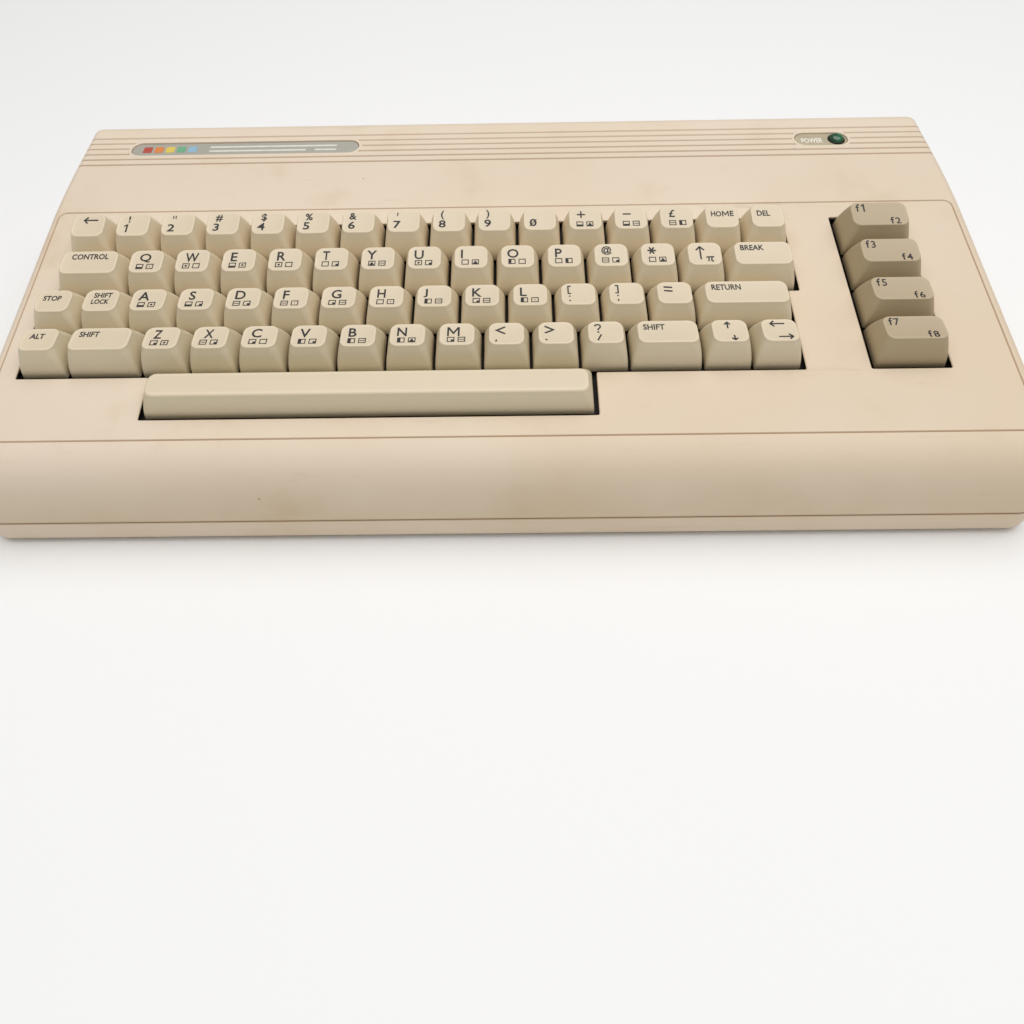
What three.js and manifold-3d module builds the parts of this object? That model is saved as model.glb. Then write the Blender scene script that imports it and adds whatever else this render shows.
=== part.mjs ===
// Vintage home computer: a wedge-shaped keyboard computer in two moulded shells.
// Millimetres. +X to the right as seen by the person typing, +Y to the rear, +Z up.
// Origin: centre of the outline on the table, under the rubber feet.
import * as THREE from 'three';
import { mergeVertices } from 'three/addons/utils/BufferGeometryUtils.js';
import Module from 'manifold-3d';

const wasm = await Module();
wasm.setup();

// ---------------------------------------------------------------- driving dimensions
const HALF_W = 202;          // half of the 404 mm width
const HALF_D = 108;          // half of the 216 mm depth
const WALL = 2.6;            // moulded wall of both shells
const FOOT_H = 3;            // the feet lift the lower shell by this much
const SEAM_Z = 13.4;         // height of the joint between the shells
const SEAM_GAP = 0.2;        // each shell stops this far from the joint
const EDGE_R = 3.5;          // rounding along the side edges
const CORNER_R = 9;          // rounding of the four corners in plan

const TILT = THREE.MathUtils.degToRad(12);   // slope of the keyboard
const P = 19.05;             // key pitch
const KB_X = -184.46;        // left edge of the first key cell
const KB_Y = -65.5;          // front edge of the fourth row of cells
const KB_Z = 50.7;           // height of the shell's top surface there
const TRAVEL = 3.8;          // key travel
const CAP_GAP = 0.55;        // half of the gap between two neighbouring keycaps
const SKIRT = -2.4;          // underside of the keycap skirts, from the shell's top surface
const BULGE = 0.28;          // part of a skirt's taper that lies below its middle height
const CAP_WALL = 1.5;
const STEM = 2.5;            // half width of a square plunger
const STEM_END = -11;
const FRAME_TOP = -6.5, FRAME_UNDER = -9, SKIRT_UNDER = -14.8;
const HOLE = 2.9;            // half width of a plunger's guide hole
const BOARD_TOP = -15.1, BOARD_T = 1.6;

const MAIN_Z = 15.5, MAIN_T = 1.6;           // main circuit board
const GROOVES = [73.2, 68.98, 64.76, 60.54, 56.32, 52.1];   // fine grooves across the rear of the top
const PLATE_Y = 64.1;        // centre line of the two inlaid plates

// side outline of the closed case, (y, z), from the front of the underside
const OUTLINE = [
  [-107.2, 3.0], [104.0, 3.0], [108, 7.5], [107.75, 12.6], [88.8, 66.5],
  [87.0, 70.4], [84.2, 73.4], [80, 75], [49, 72.6], [34, 70.9], [19.7, 68.8], [-94.3, 44.6],
  [-98.8, 42.8], [-103.2, 39.0], [-106.2, 33.7], [-107.7, 27.2], [-108, 20.5], [-107.6, 12.6],
];

// ---------------------------------------------------------------- helpers
const M = () => new THREE.Matrix4();
const KB = M().makeRotationX(TILT).setPosition(KB_X, KB_Y, KB_Z);   // keyboard frame
const ALONG_X = M().makeBasis(new THREE.Vector3(0, 1, 0), new THREE.Vector3(0, 0, 1), new THREE.Vector3(1, 0, 0));

function solid(geometry, matrix) {
  let g = geometry.index ? geometry.toNonIndexed() : geometry.clone();
  g.deleteAttribute('normal');
  g.deleteAttribute('uv');
  if (matrix) g.applyMatrix4(matrix);
  g = mergeVertices(g, 1e-4);
  return new wasm.Manifold(new wasm.Mesh({
    numProp: 3,
    vertProperties: new Float32Array(g.attributes.position.array),
    triVerts: new Uint32Array(g.index.array),
  }));
}
function geometryOf(body) {
  const mesh = body.getMesh();
  const g = new THREE.BufferGeometry();
  g.setAttribute('position', new THREE.BufferAttribute(new Float32Array(mesh.vertProperties), 3));
  g.setIndex(new THREE.BufferAttribute(new Uint32Array(mesh.triVerts), 1));
  g.computeVertexNormals();
  return g;
}
const box = (x0, x1, y0, y1, z0, z1, m) => solid(
  new THREE.BoxGeometry(x1 - x0, y1 - y0, z1 - z0).translate((x0 + x1) / 2, (y0 + y1) / 2, (z0 + z1) / 2), m);
// upright cylinder
const post = (x, y, z0, z1, r, n = 10, m) => solid(
  new THREE.CylinderGeometry(r, r, z1 - z0, n).rotateX(Math.PI / 2).translate(x, y, (z0 + z1) / 2), m);
// cylinder lying along Y / along X
const barY = (x, y0, y1, z, r, n = 12, m) => solid(
  new THREE.CylinderGeometry(r, r, y1 - y0, n).translate(x, (y0 + y1) / 2, z), m);
const barX = (x0, x1, y, z, r, n = 12, m) => solid(
  new THREE.CylinderGeometry(r, r, x1 - x0, n).rotateZ(Math.PI / 2).translate((x0 + x1) / 2, y, z), m);
const shapeOf = (pts) => new THREE.Shape(pts.map(([a, b]) => new THREE.Vector2(a, b)));
const prism = (pts, z0, z1, m) => solid(
  new THREE.ExtrudeGeometry(shapeOf(pts), { depth: z1 - z0, bevelEnabled: false }).translate(0, 0, z0), m);
function roundRect(x0, x1, y0, y1, r, n = 4) {
  const pts = [];
  [[x1 - r, y0 + r, -90], [x1 - r, y1 - r, 0], [x0 + r, y1 - r, 90], [x0 + r, y0 + r, 180]].forEach(([cx, cy, a]) => {
    for (let i = 0; i <= n; i++) {
      const t = THREE.MathUtils.degToRad(a + 90 * i / n);
      pts.push([cx + r * Math.cos(t), cy + r * Math.sin(t)]);
    }
  });
  return pts;
}
// closed outline moved inwards by d (mitred), for an anticlockwise outline
function inset(pts, d) {
  const n = pts.length;
  return pts.map((p, i) => {
    const a = pts[(i + n - 1) % n], b = pts[(i + 1) % n];
    const u = [p[0] - a[0], p[1] - a[1]], v = [b[0] - p[0], b[1] - p[1]];
    const lu = Math.hypot(...u), lv = Math.hypot(...v);
    const nu = [-u[1] / lu, u[0] / lu], nv = [-v[1] / lv, v[0] / lv];
    const k = 1 + nu[0] * nv[0] + nu[1] * nv[1];
    return [p[0] + d * (nu[0] + nv[0]) / k, p[1] + d * (nu[1] + nv[1]) / k];
  });
}
// the side outline run along X with rounded ends
function hull(pts, half, r, steps) {
  const g = new THREE.ExtrudeGeometry(shapeOf(pts), {
    depth: 2 * (half - r), bevelEnabled: true, bevelThickness: r, bevelSize: r, bevelOffset: -r, bevelSegments: steps,
  }).translate(0, 0, -(half - r));
  return solid(g, ALONG_X);
}
function surfaceZ(y) {       // height of the shell's top surface
  for (let i = 7; i < 11; i++) {
    const [y1, z1] = OUTLINE[i], [y0, z0] = OUTLINE[i + 1];
    if (y <= y1 && y >= y0) return z0 + (z1 - z0) * (y - y0) / (y1 - y0);
  }
  return NaN;
}
const BAND_TILT = Math.atan2(75 - 72.6, 80 - 49);
const BAND = M().makeRotationX(BAND_TILT).setPosition(0, PLATE_Y, surfaceZ(PLATE_Y));   // frame of the grooved band

const material = (color, roughness, metalness = 0) => new THREE.MeshStandardMaterial({ color, roughness, metalness });
const CASE = () => material(0xcfc2a5, 0.55);
const group = new THREE.Group();
function add(name, body, mat) {
  const mesh = new THREE.Mesh(geometryOf(body), mat);
  mesh.name = name;
  group.add(mesh);
  return mesh;
}

// ---------------------------------------------------------------- the two shells
const plan = prism(roundRect(-HALF_W, HALF_W, -HALF_D, HALF_D, CORNER_R, 5), -1, 90);
const planIn = prism(roundRect(-HALF_W + WALL, HALF_W - WALL, -HALF_D + WALL, HALF_D - WALL, CORNER_R - WALL, 4), -1, 90);
const outer = hull(OUTLINE, HALF_W, EDGE_R, 3).intersect(plan);
const inner = hull(inset(OUTLINE, WALL), HALF_W - WALL, 2, 1).intersect(planIn);
const shell = outer.subtract(inner);

// key wells, in the keyboard frame
const G_SIDE = 1.2, G_FRONT = 1.15, G_REAR = 1.38;
const STEP_Y = 2 * P - 0.66;
const mainWell = [
  [-0.25 * P - G_SIDE, -G_FRONT], [2.5 * P - G_SIDE, -G_FRONT], [2.5 * P - G_SIDE, -P - G_FRONT],
  [11.5 * P + G_SIDE, -P - G_FRONT], [11.5 * P + G_SIDE, -G_FRONT], [15.75 * P + G_SIDE, -G_FRONT],
  [15.75 * P + G_SIDE, STEP_Y], [16 * P + G_SIDE, STEP_Y], [16 * P + G_SIDE, 4 * P + G_REAR],
  [-G_SIDE, 4 * P + G_REAR], [-G_SIDE, 2 * P + 0.66], [-0.25 * P - G_SIDE, 2 * P + 0.66],
];
const F0 = 17.19 * P, F1 = 18.69 * P;
const functionWell = [[F0 - 1.2, -G_FRONT], [F1 + 1.2, -G_FRONT], [F1 + 1.2, 4 * P + G_REAR], [F0 - 1.2, 4 * P + G_REAR]];

// sockets along the rear (x, half width, low z, high z) and the right side (y, half width, low z, high z)
const CART = { x: 112, w: 34, z0: 17.4, z1: 37 };
const RF = { x: 42, w: 7.5, z0: 20, z1: 35 };
const AV = { x: -2, w: 10.5, z0: 16.5, z1: 36.5 };
const SERIAL = { x: -34, w: 10.5, z0: 16.5, z1: 36.5 };
const TAPE = { x: -78, w: 17, z0: 8.6, z1: 25 };
const USER = { x: -142, w: 36, z0: 8.6, z1: 25 };
const JOY = [{ y: -62, w: 12.5 }, { y: -26, w: 12.5 }];
const JOY_Z = [17.0, 31.0];
const SWITCH = { y: 16, w: 11, z0: 20, z1: 33 };
const POWER = { y: 52, w: 10.5, z0: 16.5, z1: 36.5 };

let top = shell.intersect(box(-300, 300, -300, 300, SEAM_Z + SEAM_GAP, 200));
top = top.subtract(prism(mainWell, -12, 12, KB)).subtract(prism(functionWell, -12, 12, KB));
for (const y of GROOVES) {
  const d = (y - PLATE_Y) / Math.cos(BAND_TILT);
  top = top.subtract(prism([[d - 0.6, 0.6], [d - 0.25, -0.65], [d + 0.25, -0.65], [d + 0.6, 0.6]].map(([a, b]) => [a, b]),
    -HALF_W - 5, HALF_W + 5, BAND.clone().multiply(ALONG_X)));
}
// recesses and holes for the inlaid plates and the lamp
const BADGE_X = -123.3, BADGE_HALF = 54.5, PLATE_HALF_H = 5.0;
const LAMP_PLATE_X = 150.9, LAMP_PLATE_HALF = 12.5, LAMP_X = 158.2, LAMP_HOLE = 4.05;
const stadium = (cx, hx, hy, n) => roundRect(cx - hx, cx + hx, -hy, hy, hy - 0.01, n);
// a solid pad backs each recess
top = top.add(prism(stadium(BADGE_X, BADGE_HALF + 1.5, PLATE_HALF_H + 1.2, 4), -WALL - 1.4, -WALL + 0.8, BAND));
top = top.add(prism(stadium(LAMP_PLATE_X, LAMP_PLATE_HALF + 1.5, PLATE_HALF_H + 1.2, 4), -WALL - 1.4, -WALL + 0.8, BAND));
top = top.subtract(prism(stadium(BADGE_X, BADGE_HALF, PLATE_HALF_H, 5), -1.6, 5, BAND));
top = top.subtract(prism(stadium(LAMP_PLATE_X, LAMP_PLATE_HALF, PLATE_HALF_H, 5), -1.6, 5, BAND));
top = top.subtract(post(LAMP_X, 0, -8, 2, LAMP_HOLE, 14, BAND));
// socket windows in the rear wall and in the right-hand wall
for (const s of [CART, RF, AV, SERIAL, TAPE, USER]) top = top.subtract(box(s.x - s.w, s.x + s.w, 90, 120, s.z0, s.z1));
for (const s of JOY) top = top.subtract(box(190, 210, s.y - s.w, s.y + s.w, ...JOY_Z));
top = top.subtract(box(190, 210, SWITCH.y - SWITCH.w, SWITCH.y + SWITCH.w, SWITCH.z0, SWITCH.z1));
top = top.subtract(box(190, 210, POWER.y - POWER.w, POWER.y + POWER.w, POWER.z0, POWER.z1));
// posts that the keyboard frame screws to, and the three screw bosses along the front
const FRAME_POSTS = [[20, -11], [262, -11], [316.4, 12], [316.4, 62], [20, 82.6], [150, 82.6], [285, 82.6]];
for (const [x, y] of FRAME_POSTS) top = top.add(post(x, y, FRAME_TOP + 0.3, -1, 3, 8, KB));
const SCREWS = [[-150, -96], [0, -96], [150, -96]];
const bossCut = outer.subtract(box(-300, 300, -300, 300, -10, SEAM_Z + SEAM_GAP));
for (const [x, y] of SCREWS) {
  top = top.add(post(x, y, 5, 60, 4.2, 10).intersect(bossCut));
  top = top.subtract(post(x, y, 5, 30, 1.9, 8));
}
// tongues that hook the upper shell behind the lower one at the rear
for (const x of [-188, 66, 188]) top = top.add(box(x - 6, x + 6, 101.9, 104.5, 8, 18));
add('top_case', top, CASE());

let bottom = shell.intersect(box(-300, 300, -300, 300, -1, SEAM_Z - SEAM_GAP));
for (const s of [TAPE, USER]) bottom = bottom.subtract(box(s.x - s.w, s.x + s.w, 95, 120, s.z0, 40));
const STANDOFFS = [[-180, -66], [-60, -66], [60, -66], [176, -66], [-180, 92], [-14, 60], [176, 88], [-60, 20], [60, 20]];
for (const [x, y] of STANDOFFS) bottom = bottom.add(post(x, y, 4.5, MAIN_Z - 0.3, 3.5, 8));
for (const [x, y] of SCREWS) {
  bottom = bottom.add(post(x, y, 4.5, SEAM_Z - SEAM_GAP, 6, 10).intersect(outer));
  bottom = bottom.subtract(post(x, y, -1, 8, 4.2, 10)).subtract(post(x, y, 5, 20, 1.9, 8));
}
for (const sx of [-1, 1]) for (let i = 0; i < 6; i++) {       // cooling slots in the underside
  const y = 30 + i * 9;
  bottom = bottom.subtract(box(sx * 100 - 40, sx * 100 + 40, y - 1.6, y + 1.6, 0, 5.9));
}
add('bottom_case', bottom, CASE());

// ---------------------------------------------------------------- feet and screws
const FEET = { foot_front_left: [-176, -84], foot_front_right: [176, -84], foot_rear_left: [-176, 84], foot_rear_right: [176, 84] };
for (const [name, [x, y]] of Object.entries(FEET)) {
  const pad = solid(new THREE.CylinderGeometry(8, 7.2, FOOT_H - 0.3, 16).rotateX(Math.PI / 2).translate(x, y, (FOOT_H - 0.3) / 2));
  add(name, pad, material(0x2a2826, 0.85));
}
const SCREW_NAMES = ['case_screw_left', 'case_screw_middle', 'case_screw_right'];
SCREWS.forEach(([x, y], i) => {
  let s = post(x, y, 5.4, 7.7, 3.4, 12).add(post(x, y, 7, 28, 1.55, 8));
  s = s.subtract(box(x - 5, x + 5, y - 0.5, y + 0.5, 5, 6.4));
  add(SCREW_NAMES[i], s, material(0x8c8c8e, 0.35, 1));
});

// ---------------------------------------------------------------- inlaid plates and lamp
add('name_plate', prism(stadium(BADGE_X, BADGE_HALF - 0.4, PLATE_HALF_H - 0.4, 5), -1.3, -0.5, BAND), material(0xb9b3a6, 0.4, 0.3));
add('power_plate', prism(stadium(LAMP_PLATE_X, LAMP_PLATE_HALF - 0.4, PLATE_HALF_H - 0.4, 5), -1.3, -0.5, BAND)
  .subtract(post(LAMP_X, 0, -3, 2, LAMP_HOLE, 14, BAND)), material(0xb5ad99, 0.45));
const dome = [[0, -7], [3.85, -7], [3.85, 0.2], [3.5, 0.5], [2.95, 0.5], [2.9, 1.2], [2.3, 2.1], [1.2, 2.6], [0, 2.75]].map(([r, z]) => new THREE.Vector2(r, z));
add('power_led', solid(new THREE.LatheGeometry(dome, 12).rotateX(Math.PI / 2), BAND.clone().multiply(M().makeTranslation(LAMP_X, 0, 0))), material(0x1f4a2a, 0.25));

// ---------------------------------------------------------------- keyboard
const keyboard = new THREE.Group();
keyboard.applyMatrix4(KB);
group.add(keyboard);
function addKb(name, body, mat) {
  const mesh = new THREE.Mesh(geometryOf(body), mat);
  mesh.name = name;
  keyboard.add(mesh);
  return mesh;
}
// height of the cap's top face at its front and rear edge, for rows 0 (nearest) to 3 and the space bar (-1)
const TOP = { 3: [12.9, 13.9], 2: [11.8, 12.2], 1: [11.4, 10.4], 0: [12.2, 10.4], '-1': [9.9, 9.5] };
const INSET = { x: 2.3, front: 3.45, rear: 3.2 };

// rectangles [x0, x1, y0, y1, height at the front, height at the rear] stacked into one solid
function stack(levels) {
  const v = [], t = [0, 2, 1, 0, 3, 2], k = 4 * (levels.length - 1);
  for (const [x0, x1, y0, y1, zf, zr] of levels) v.push(x0, y0, zf, x1, y0, zf, x1, y1, zr, x0, y1, zr);
  for (let i = 0; i < k; i += 4) {
    for (let j = 0; j < 4; j++) {
      const a = i + j, b = i + (j + 1) % 4;
      t.push(a, b, b + 4, a, b + 4, a + 4);
    }
  }
  t.push(k, k + 1, k + 2, k, k + 2, k + 3);
  return new wasm.Manifold(new wasm.Mesh({ numProp: 3, vertProperties: new Float32Array(v), triVerts: new Uint32Array(t) }));
}
// keycap: skirts that curve in to a smaller sloping top, hollow from below
function capShape(x0, x1, y0, y1, ix, front, rear, zf, zr, middle = 4.6) {
  return stack([
    [x0, x1, y0, y1, SKIRT, SKIRT],
    [x0 + BULGE * ix, x1 - BULGE * ix, y0 + BULGE * front, y1 - BULGE * rear, middle, middle],
    [x0 + ix, x1 - ix, y0 + front, y1 - rear, zf, zr]]);
}
function capHollow(x0, x1, y0, y1, ix, front, rear, zf, zr) {
  return stack([
    [x0 + CAP_WALL, x1 - CAP_WALL, y0 + CAP_WALL, y1 - CAP_WALL, SKIRT - 1, SKIRT - 1],
    [x0 + ix + 0.4, x1 - ix - 0.4, y0 + front + 0.3, y1 - rear - 0.3, zf - 2.2, zr - 2.2]]);
}
function keycap(u0, u1, v, heights, ix = INSET.x) {
  const x0 = u0 * P + CAP_GAP, x1 = u1 * P - CAP_GAP, y0 = v * P + CAP_GAP, y1 = (v + 1) * P - CAP_GAP;
  const [zf, zr] = heights;
  const cx = (x0 + x1) / 2, cy = (y0 + y1) / 2;
  return capShape(x0, x1, y0, y1, ix, INSET.front, INSET.rear, zf, zr)
    .subtract(capHollow(x0, x1, y0, y1, ix, INSET.front, INSET.rear, zf, zr))
    .add(box(cx - STEM, cx + STEM, cy - STEM, cy + STEM, STEM_END, Math.min(zf, zr) - 1.4));
}
const KEYCAP = () => material(0xd9ceb4, 0.5);
const FKEYCAP = () => material(0xb9ac8c, 0.5);

const STEMS = [];
const centre = (u0, u1, v) => [(u0 + u1) / 2 * P, (v + 0.5) * P];
function single(name, u0, u1, v, mat = KEYCAP(), heights = TOP[v]) {
  STEMS.push(centre(u0, u1, v));
  return addKb(name, keycap(u0, u1, v, heights), mat);
}
// neighbouring keys of one row on a common slide, joined by a bar hidden between their skirts
function run(name, u0, count, v) {
  let body = keycap(u0, u0 + 1, v, TOP[v]);
  for (let i = 1; i < count; i++) body = body.add(keycap(u0 + i, u0 + i + 1, v, TOP[v]));
  for (let i = 0; i < count; i++) STEMS.push(centre(u0 + i, u0 + i + 1, v));
  const y = (v + 0.5) * P;
  body = body.add(box((u0 + 0.5) * P, (u0 + count - 0.5) * P, y - 1.5, y + 1.5, SKIRT, SKIRT + 1.2));
  return addKb(name, body, KEYCAP());
}
// rear row
single('key_left_arrow', 0, 1, 3);
run('keys_1_2_3', 1, 3, 3);
run('keys_4_5_6', 4, 3, 3);
run('keys_7_8_9', 7, 3, 3);
run('keys_0_plus', 10, 2, 3);
run('keys_minus_pound', 12, 2, 3);
single('key_home', 14, 15, 3);
single('key_delete', 15, 16, 3);
// second row
single('key_control', 0, 1.5, 2);
run('keys_q_w_e', 1.5, 3, 2);
run('keys_r_t_y', 4.5, 3, 2);
run('keys_u_i_o', 7.5, 3, 2);
run('keys_p_at_star_up', 10.5, 4, 2);
single('key_restore', 14.5, 16, 2);
// third row
single('key_run_stop', -0.25, 0.75, 1);
single('key_shift_lock', 0.75, 1.75, 1);
run('keys_a_s_d', 1.75, 3, 1);
run('keys_f_g_h', 4.75, 3, 1);
run('keys_j_k_l', 7.75, 3, 1);
run('keys_colon_semicolon_equal', 10.75, 3, 1);
single('key_return', 13.75, 15.75, 1);
// fourth row
single('key_mode', -0.25, 0.75, 0);
single('key_shift_left', 0.75, 2.25, 0);
run('keys_z_x_c', 2.25, 3, 0);
run('keys_v_b_n', 5.25, 3, 0);
run('keys_m_comma_dot_slash', 8.25, 4, 0);
single('key_shift_right', 12.25, 13.75, 0);
single('key_cursor_up_down', 13.75, 14.75, 0);
single('key_cursor_left_right', 14.75, 15.75, 0);
// function keys
[[3, 'key_f1'], [2, 'key_f3'], [1, 'key_f5'], [0, 'key_f7']].forEach(([v, name]) => {
  const h = { 3: [13.0, 14.3], 2: [12.4, 13.0], 1: [12.1, 11.8], 0: [12.6, 11.3] }[v];
  single(name, 17.19, 18.69, v, FKEYCAP(), h);
});

// space bar: three plungers and two saddles over the balancing wire
const SPACE = [2.5, 11.5];
const WIRE_PIVOT = [-7.4, -1.2], WIRE_LONG = [-15, 0.7], WIRE_R = 0.8;
const ARM_X = [78, 189];
{
  const x0 = SPACE[0] * P + CAP_GAP, x1 = SPACE[1] * P - CAP_GAP, y0 = -P + CAP_GAP, y1 = -CAP_GAP;
  const [zf, zr] = TOP[-1];
  const whole = capShape(x0, x1, y0, y1, 2.2, 2.8, 4.9, zf, zr, 3.6);
  let bar = whole.subtract(capHollow(x0, x1, y0, y1, 2.2, 2.8, 4.9, zf, zr));
  for (const x of [7 * P, 7 * P - 66, 7 * P + 66]) {
    const y = -0.5 * P + 0.6;
    STEMS.push([x, y]);
    bar = bar.add(box(x - STEM, x + STEM, y - STEM, y + STEM, STEM_END, zr - 1.2));
  }
  for (const x of [100, 166.7]) {
    bar = bar.add(box(x - 2, x + 2, y0 + 1.0, -13.9, 1.9, 7.9).intersect(whole));
    bar = bar.add(box(x - 2, x + 2, -13.6, -12.2, -0.4, 8.2));
    bar = bar.add(box(x - 2, x + 2, -14.2, -13.4, 1.9, 8.0));
  }
  addKb('space_bar', bar, KEYCAP());
}

// balancing wire: one long side under the bar, two arms, two short ends in lugs on the frame
{
  const path = (pts) => {
    const curve = new THREE.CurvePath();
    for (let i = 0; i + 1 < pts.length; i++) curve.add(new THREE.LineCurve3(new THREE.Vector3(...pts[i]), new THREE.Vector3(...pts[i + 1])));
    return curve;
  };
  const rod = (a, b) => {
    const va = new THREE.Vector3(...a), vb = new THREE.Vector3(...b), d = vb.clone().sub(va);
    const len = d.length();
    const q = new THREE.Quaternion().setFromUnitVectors(new THREE.Vector3(0, 1, 0), d.normalize());
    const g = new THREE.CylinderGeometry(WIRE_R, WIRE_R, len + WIRE_R, 6);
    return solid(g, M().compose(va.add(vb).multiplyScalar(0.5), q, new THREE.Vector3(1, 1, 1)));
  };
  const [py, pz] = WIRE_PIVOT, [ly, lz] = WIRE_LONG;
  let wire = rod([ARM_X[0], ly, lz], [ARM_X[1], ly, lz]);
  for (const [x, s] of [[ARM_X[0], -1], [ARM_X[1], 1]]) {
    wire = wire.add(rod([x, ly, lz], [x, py, pz])).add(rod([x, py, pz], [x + s * 5.5, py, pz]));
  }
  addKb('space_bar_wire', wire, material(0x9a9a9c, 0.3, 1));
}

// frame: a tray, open below, with a guide hole for each plunger and two lugs for the wire
{
  const X0 = -13, X1 = 366, Y0 = -23, Y1 = 87.5;
  let frame = box(X0, X1, Y0, Y1, SKIRT_UNDER, FRAME_TOP).subtract(box(X0 + 2, X1 - 2, Y0 + 2, Y1 - 2, SKIRT_UNDER - 1, FRAME_UNDER));
  const holes = STEMS.map(([x, y]) => box(x - HOLE, x + HOLE, y - HOLE, y + HOLE, -12, -5));
  for (const h of holes) frame = frame.subtract(h);
  for (const [x, s] of [[ARM_X[0], -1], [ARM_X[1], 1]]) {
    const xa = x + s * 2.2, xb = x + s * 4.6;
    const lug = box(Math.min(xa, xb), Math.max(xa, xb), -9.0, -5.8, FRAME_TOP - 1, 0.3)
      .subtract(barX(x - 8, x + 8, WIRE_PIVOT[0], WIRE_PIVOT[1], 1.15, 8));
    frame = frame.add(lug);
  }
  addKb('keyboard_frame', frame, material(0x1d1c1b, 0.6));
  addKb('keyboard_circuit_board', box(X0 + 1, X1 - 1, Y0 + 1, Y1 - 1, BOARD_TOP - BOARD_T, BOARD_TOP), material(0x6f5a2a, 0.6));
}

// ---------------------------------------------------------------- main board and what is soldered to it
{
  let board = box(-190, 188, -78, 94, MAIN_Z, MAIN_Z + MAIN_T);
  board = board.add(box(USER.x - 31, USER.x + 31, 90, 103, MAIN_Z, MAIN_Z + MAIN_T));
  board = board.add(box(TAPE.x - 12, TAPE.x + 12, 90, 103, MAIN_Z, MAIN_Z + MAIN_T));
  const t = MAIN_Z + MAIN_T;
  const chip = (x, y, lx, ly, h = 4.2) => { board = board.add(box(x - lx / 2, x + lx / 2, y - ly / 2, y + ly / 2, t - 0.4, t + h)); };
  chip(-150, 55, 15, 51); chip(-112, 55, 15, 51); chip(-70, 45, 15, 51); chip(-30, 20, 15, 51);
  chip(30, 20, 15, 51); chip(72, 30, 15, 36); chip(-160, -30, 36, 15); chip(-110, -30, 36, 15);
  chip(-60, -40, 36, 15); chip(90, -30, 9, 22); chip(108, -30, 9, 22); chip(126, -30, 9, 22); chip(144, -30, 9, 22);
  for (const [x, y] of [[140, 20], [152, 44], [20, -40]]) board = board.add(post(x, y, t - 0.4, t + 16, 6, 10));
  add('main_circuit_board', board, material(0x35502c, 0.55));
}
const BLACK = () => material(0x1b1b1c, 0.5);
// a round multi-pin socket facing rearwards (dir 'y') or to the right (dir 'x')
function dinSocket(at, dir) {
  const face = dir === 'y' ? 98.6 : 198.6, z = 26.5, t = MAIN_Z + MAIN_T + 0.3;
  const b = dir === 'y'
    ? box(at - 9, at + 9, face - 16, face, t, z + 9.2)
    : box(face - 16, face, at - 9, at + 9, t, z + 9.2);
  const well = dir === 'y' ? barY(at, face - 8, face + 1, z, 6.6, 14) : barX(face - 8, face + 1, at, z, 6.6, 14);
  const key = dir === 'y'
    ? box(at - 1.4, at + 1.4, face - 9, face - 0.6, z - 6.9, z - 4.9) : box(face - 9, face - 0.6, at - 1.4, at + 1.4, z - 6.9, z - 4.9);
  return b.subtract(well).add(key);
}
add('serial_socket', dinSocket(SERIAL.x, 'y'), BLACK());
add('audio_video_socket', dinSocket(AV.x, 'y'), BLACK());
add('power_socket', dinSocket(POWER.y, 'x'), BLACK());

add('video_modulator_box', box(18, 62, 48, 94, MAIN_Z + MAIN_T + 0.3, 38), material(0xa9abad, 0.35, 1));
add('aerial_jack', barY(RF.x, 94.3, 97, 27.5, 5.5, 12).add(barY(RF.x, 96.5, 103, 27.5, 4.1, 12)).subtract(barY(RF.x, 95.3, 104, 27.5, 1.6, 8)),
  material(0xb4b4b2, 0.3, 1));

{
  const t = MAIN_Z + MAIN_T + 0.3;
  const slot = box(CART.x - 32, CART.x + 32, 82, 97.5, t, t + 15)
    .subtract(box(CART.x - 29, CART.x + 29, 87, 99, t + 5, t + 10));
  add('cartridge_connector', slot, BLACK());
}
JOY.forEach((s, i) => {
  const t = MAIN_Z + MAIN_T + 0.3, z = 24;
  const shellD = (h, w, x0, x1) => prism([[s.y - w, z + h], [s.y - w + 1.2, z - h], [s.y + w - 1.2, z - h], [s.y + w, z + h]], x0, x1, ALONG_X);
  let port = box(185.2, 191.7, s.y - 11.9, s.y + 11.9, t, 30.6).add(box(176.2, 186.2, s.y - 9, s.y + 9, t, 27));
  port = port.add(shellD(4.4, 8.9, 191.2, 197)).subtract(shellD(3.7, 8.2, 190.2, 198.2));
  for (let k = 0; k < 5; k++) port = port.add(barX(189.7, 195.6, s.y - 5.5 + k * 2.75, z + 1.4, 0.5, 6));
  for (let k = 0; k < 4; k++) port = port.add(barX(189.7, 195.6, s.y - 4.1 + k * 2.75, z - 1.4, 0.5, 6));
  add('joystick_port_' + (i + 1), port, material(0xb0b0ae, 0.4, 0.9));
});

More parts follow.
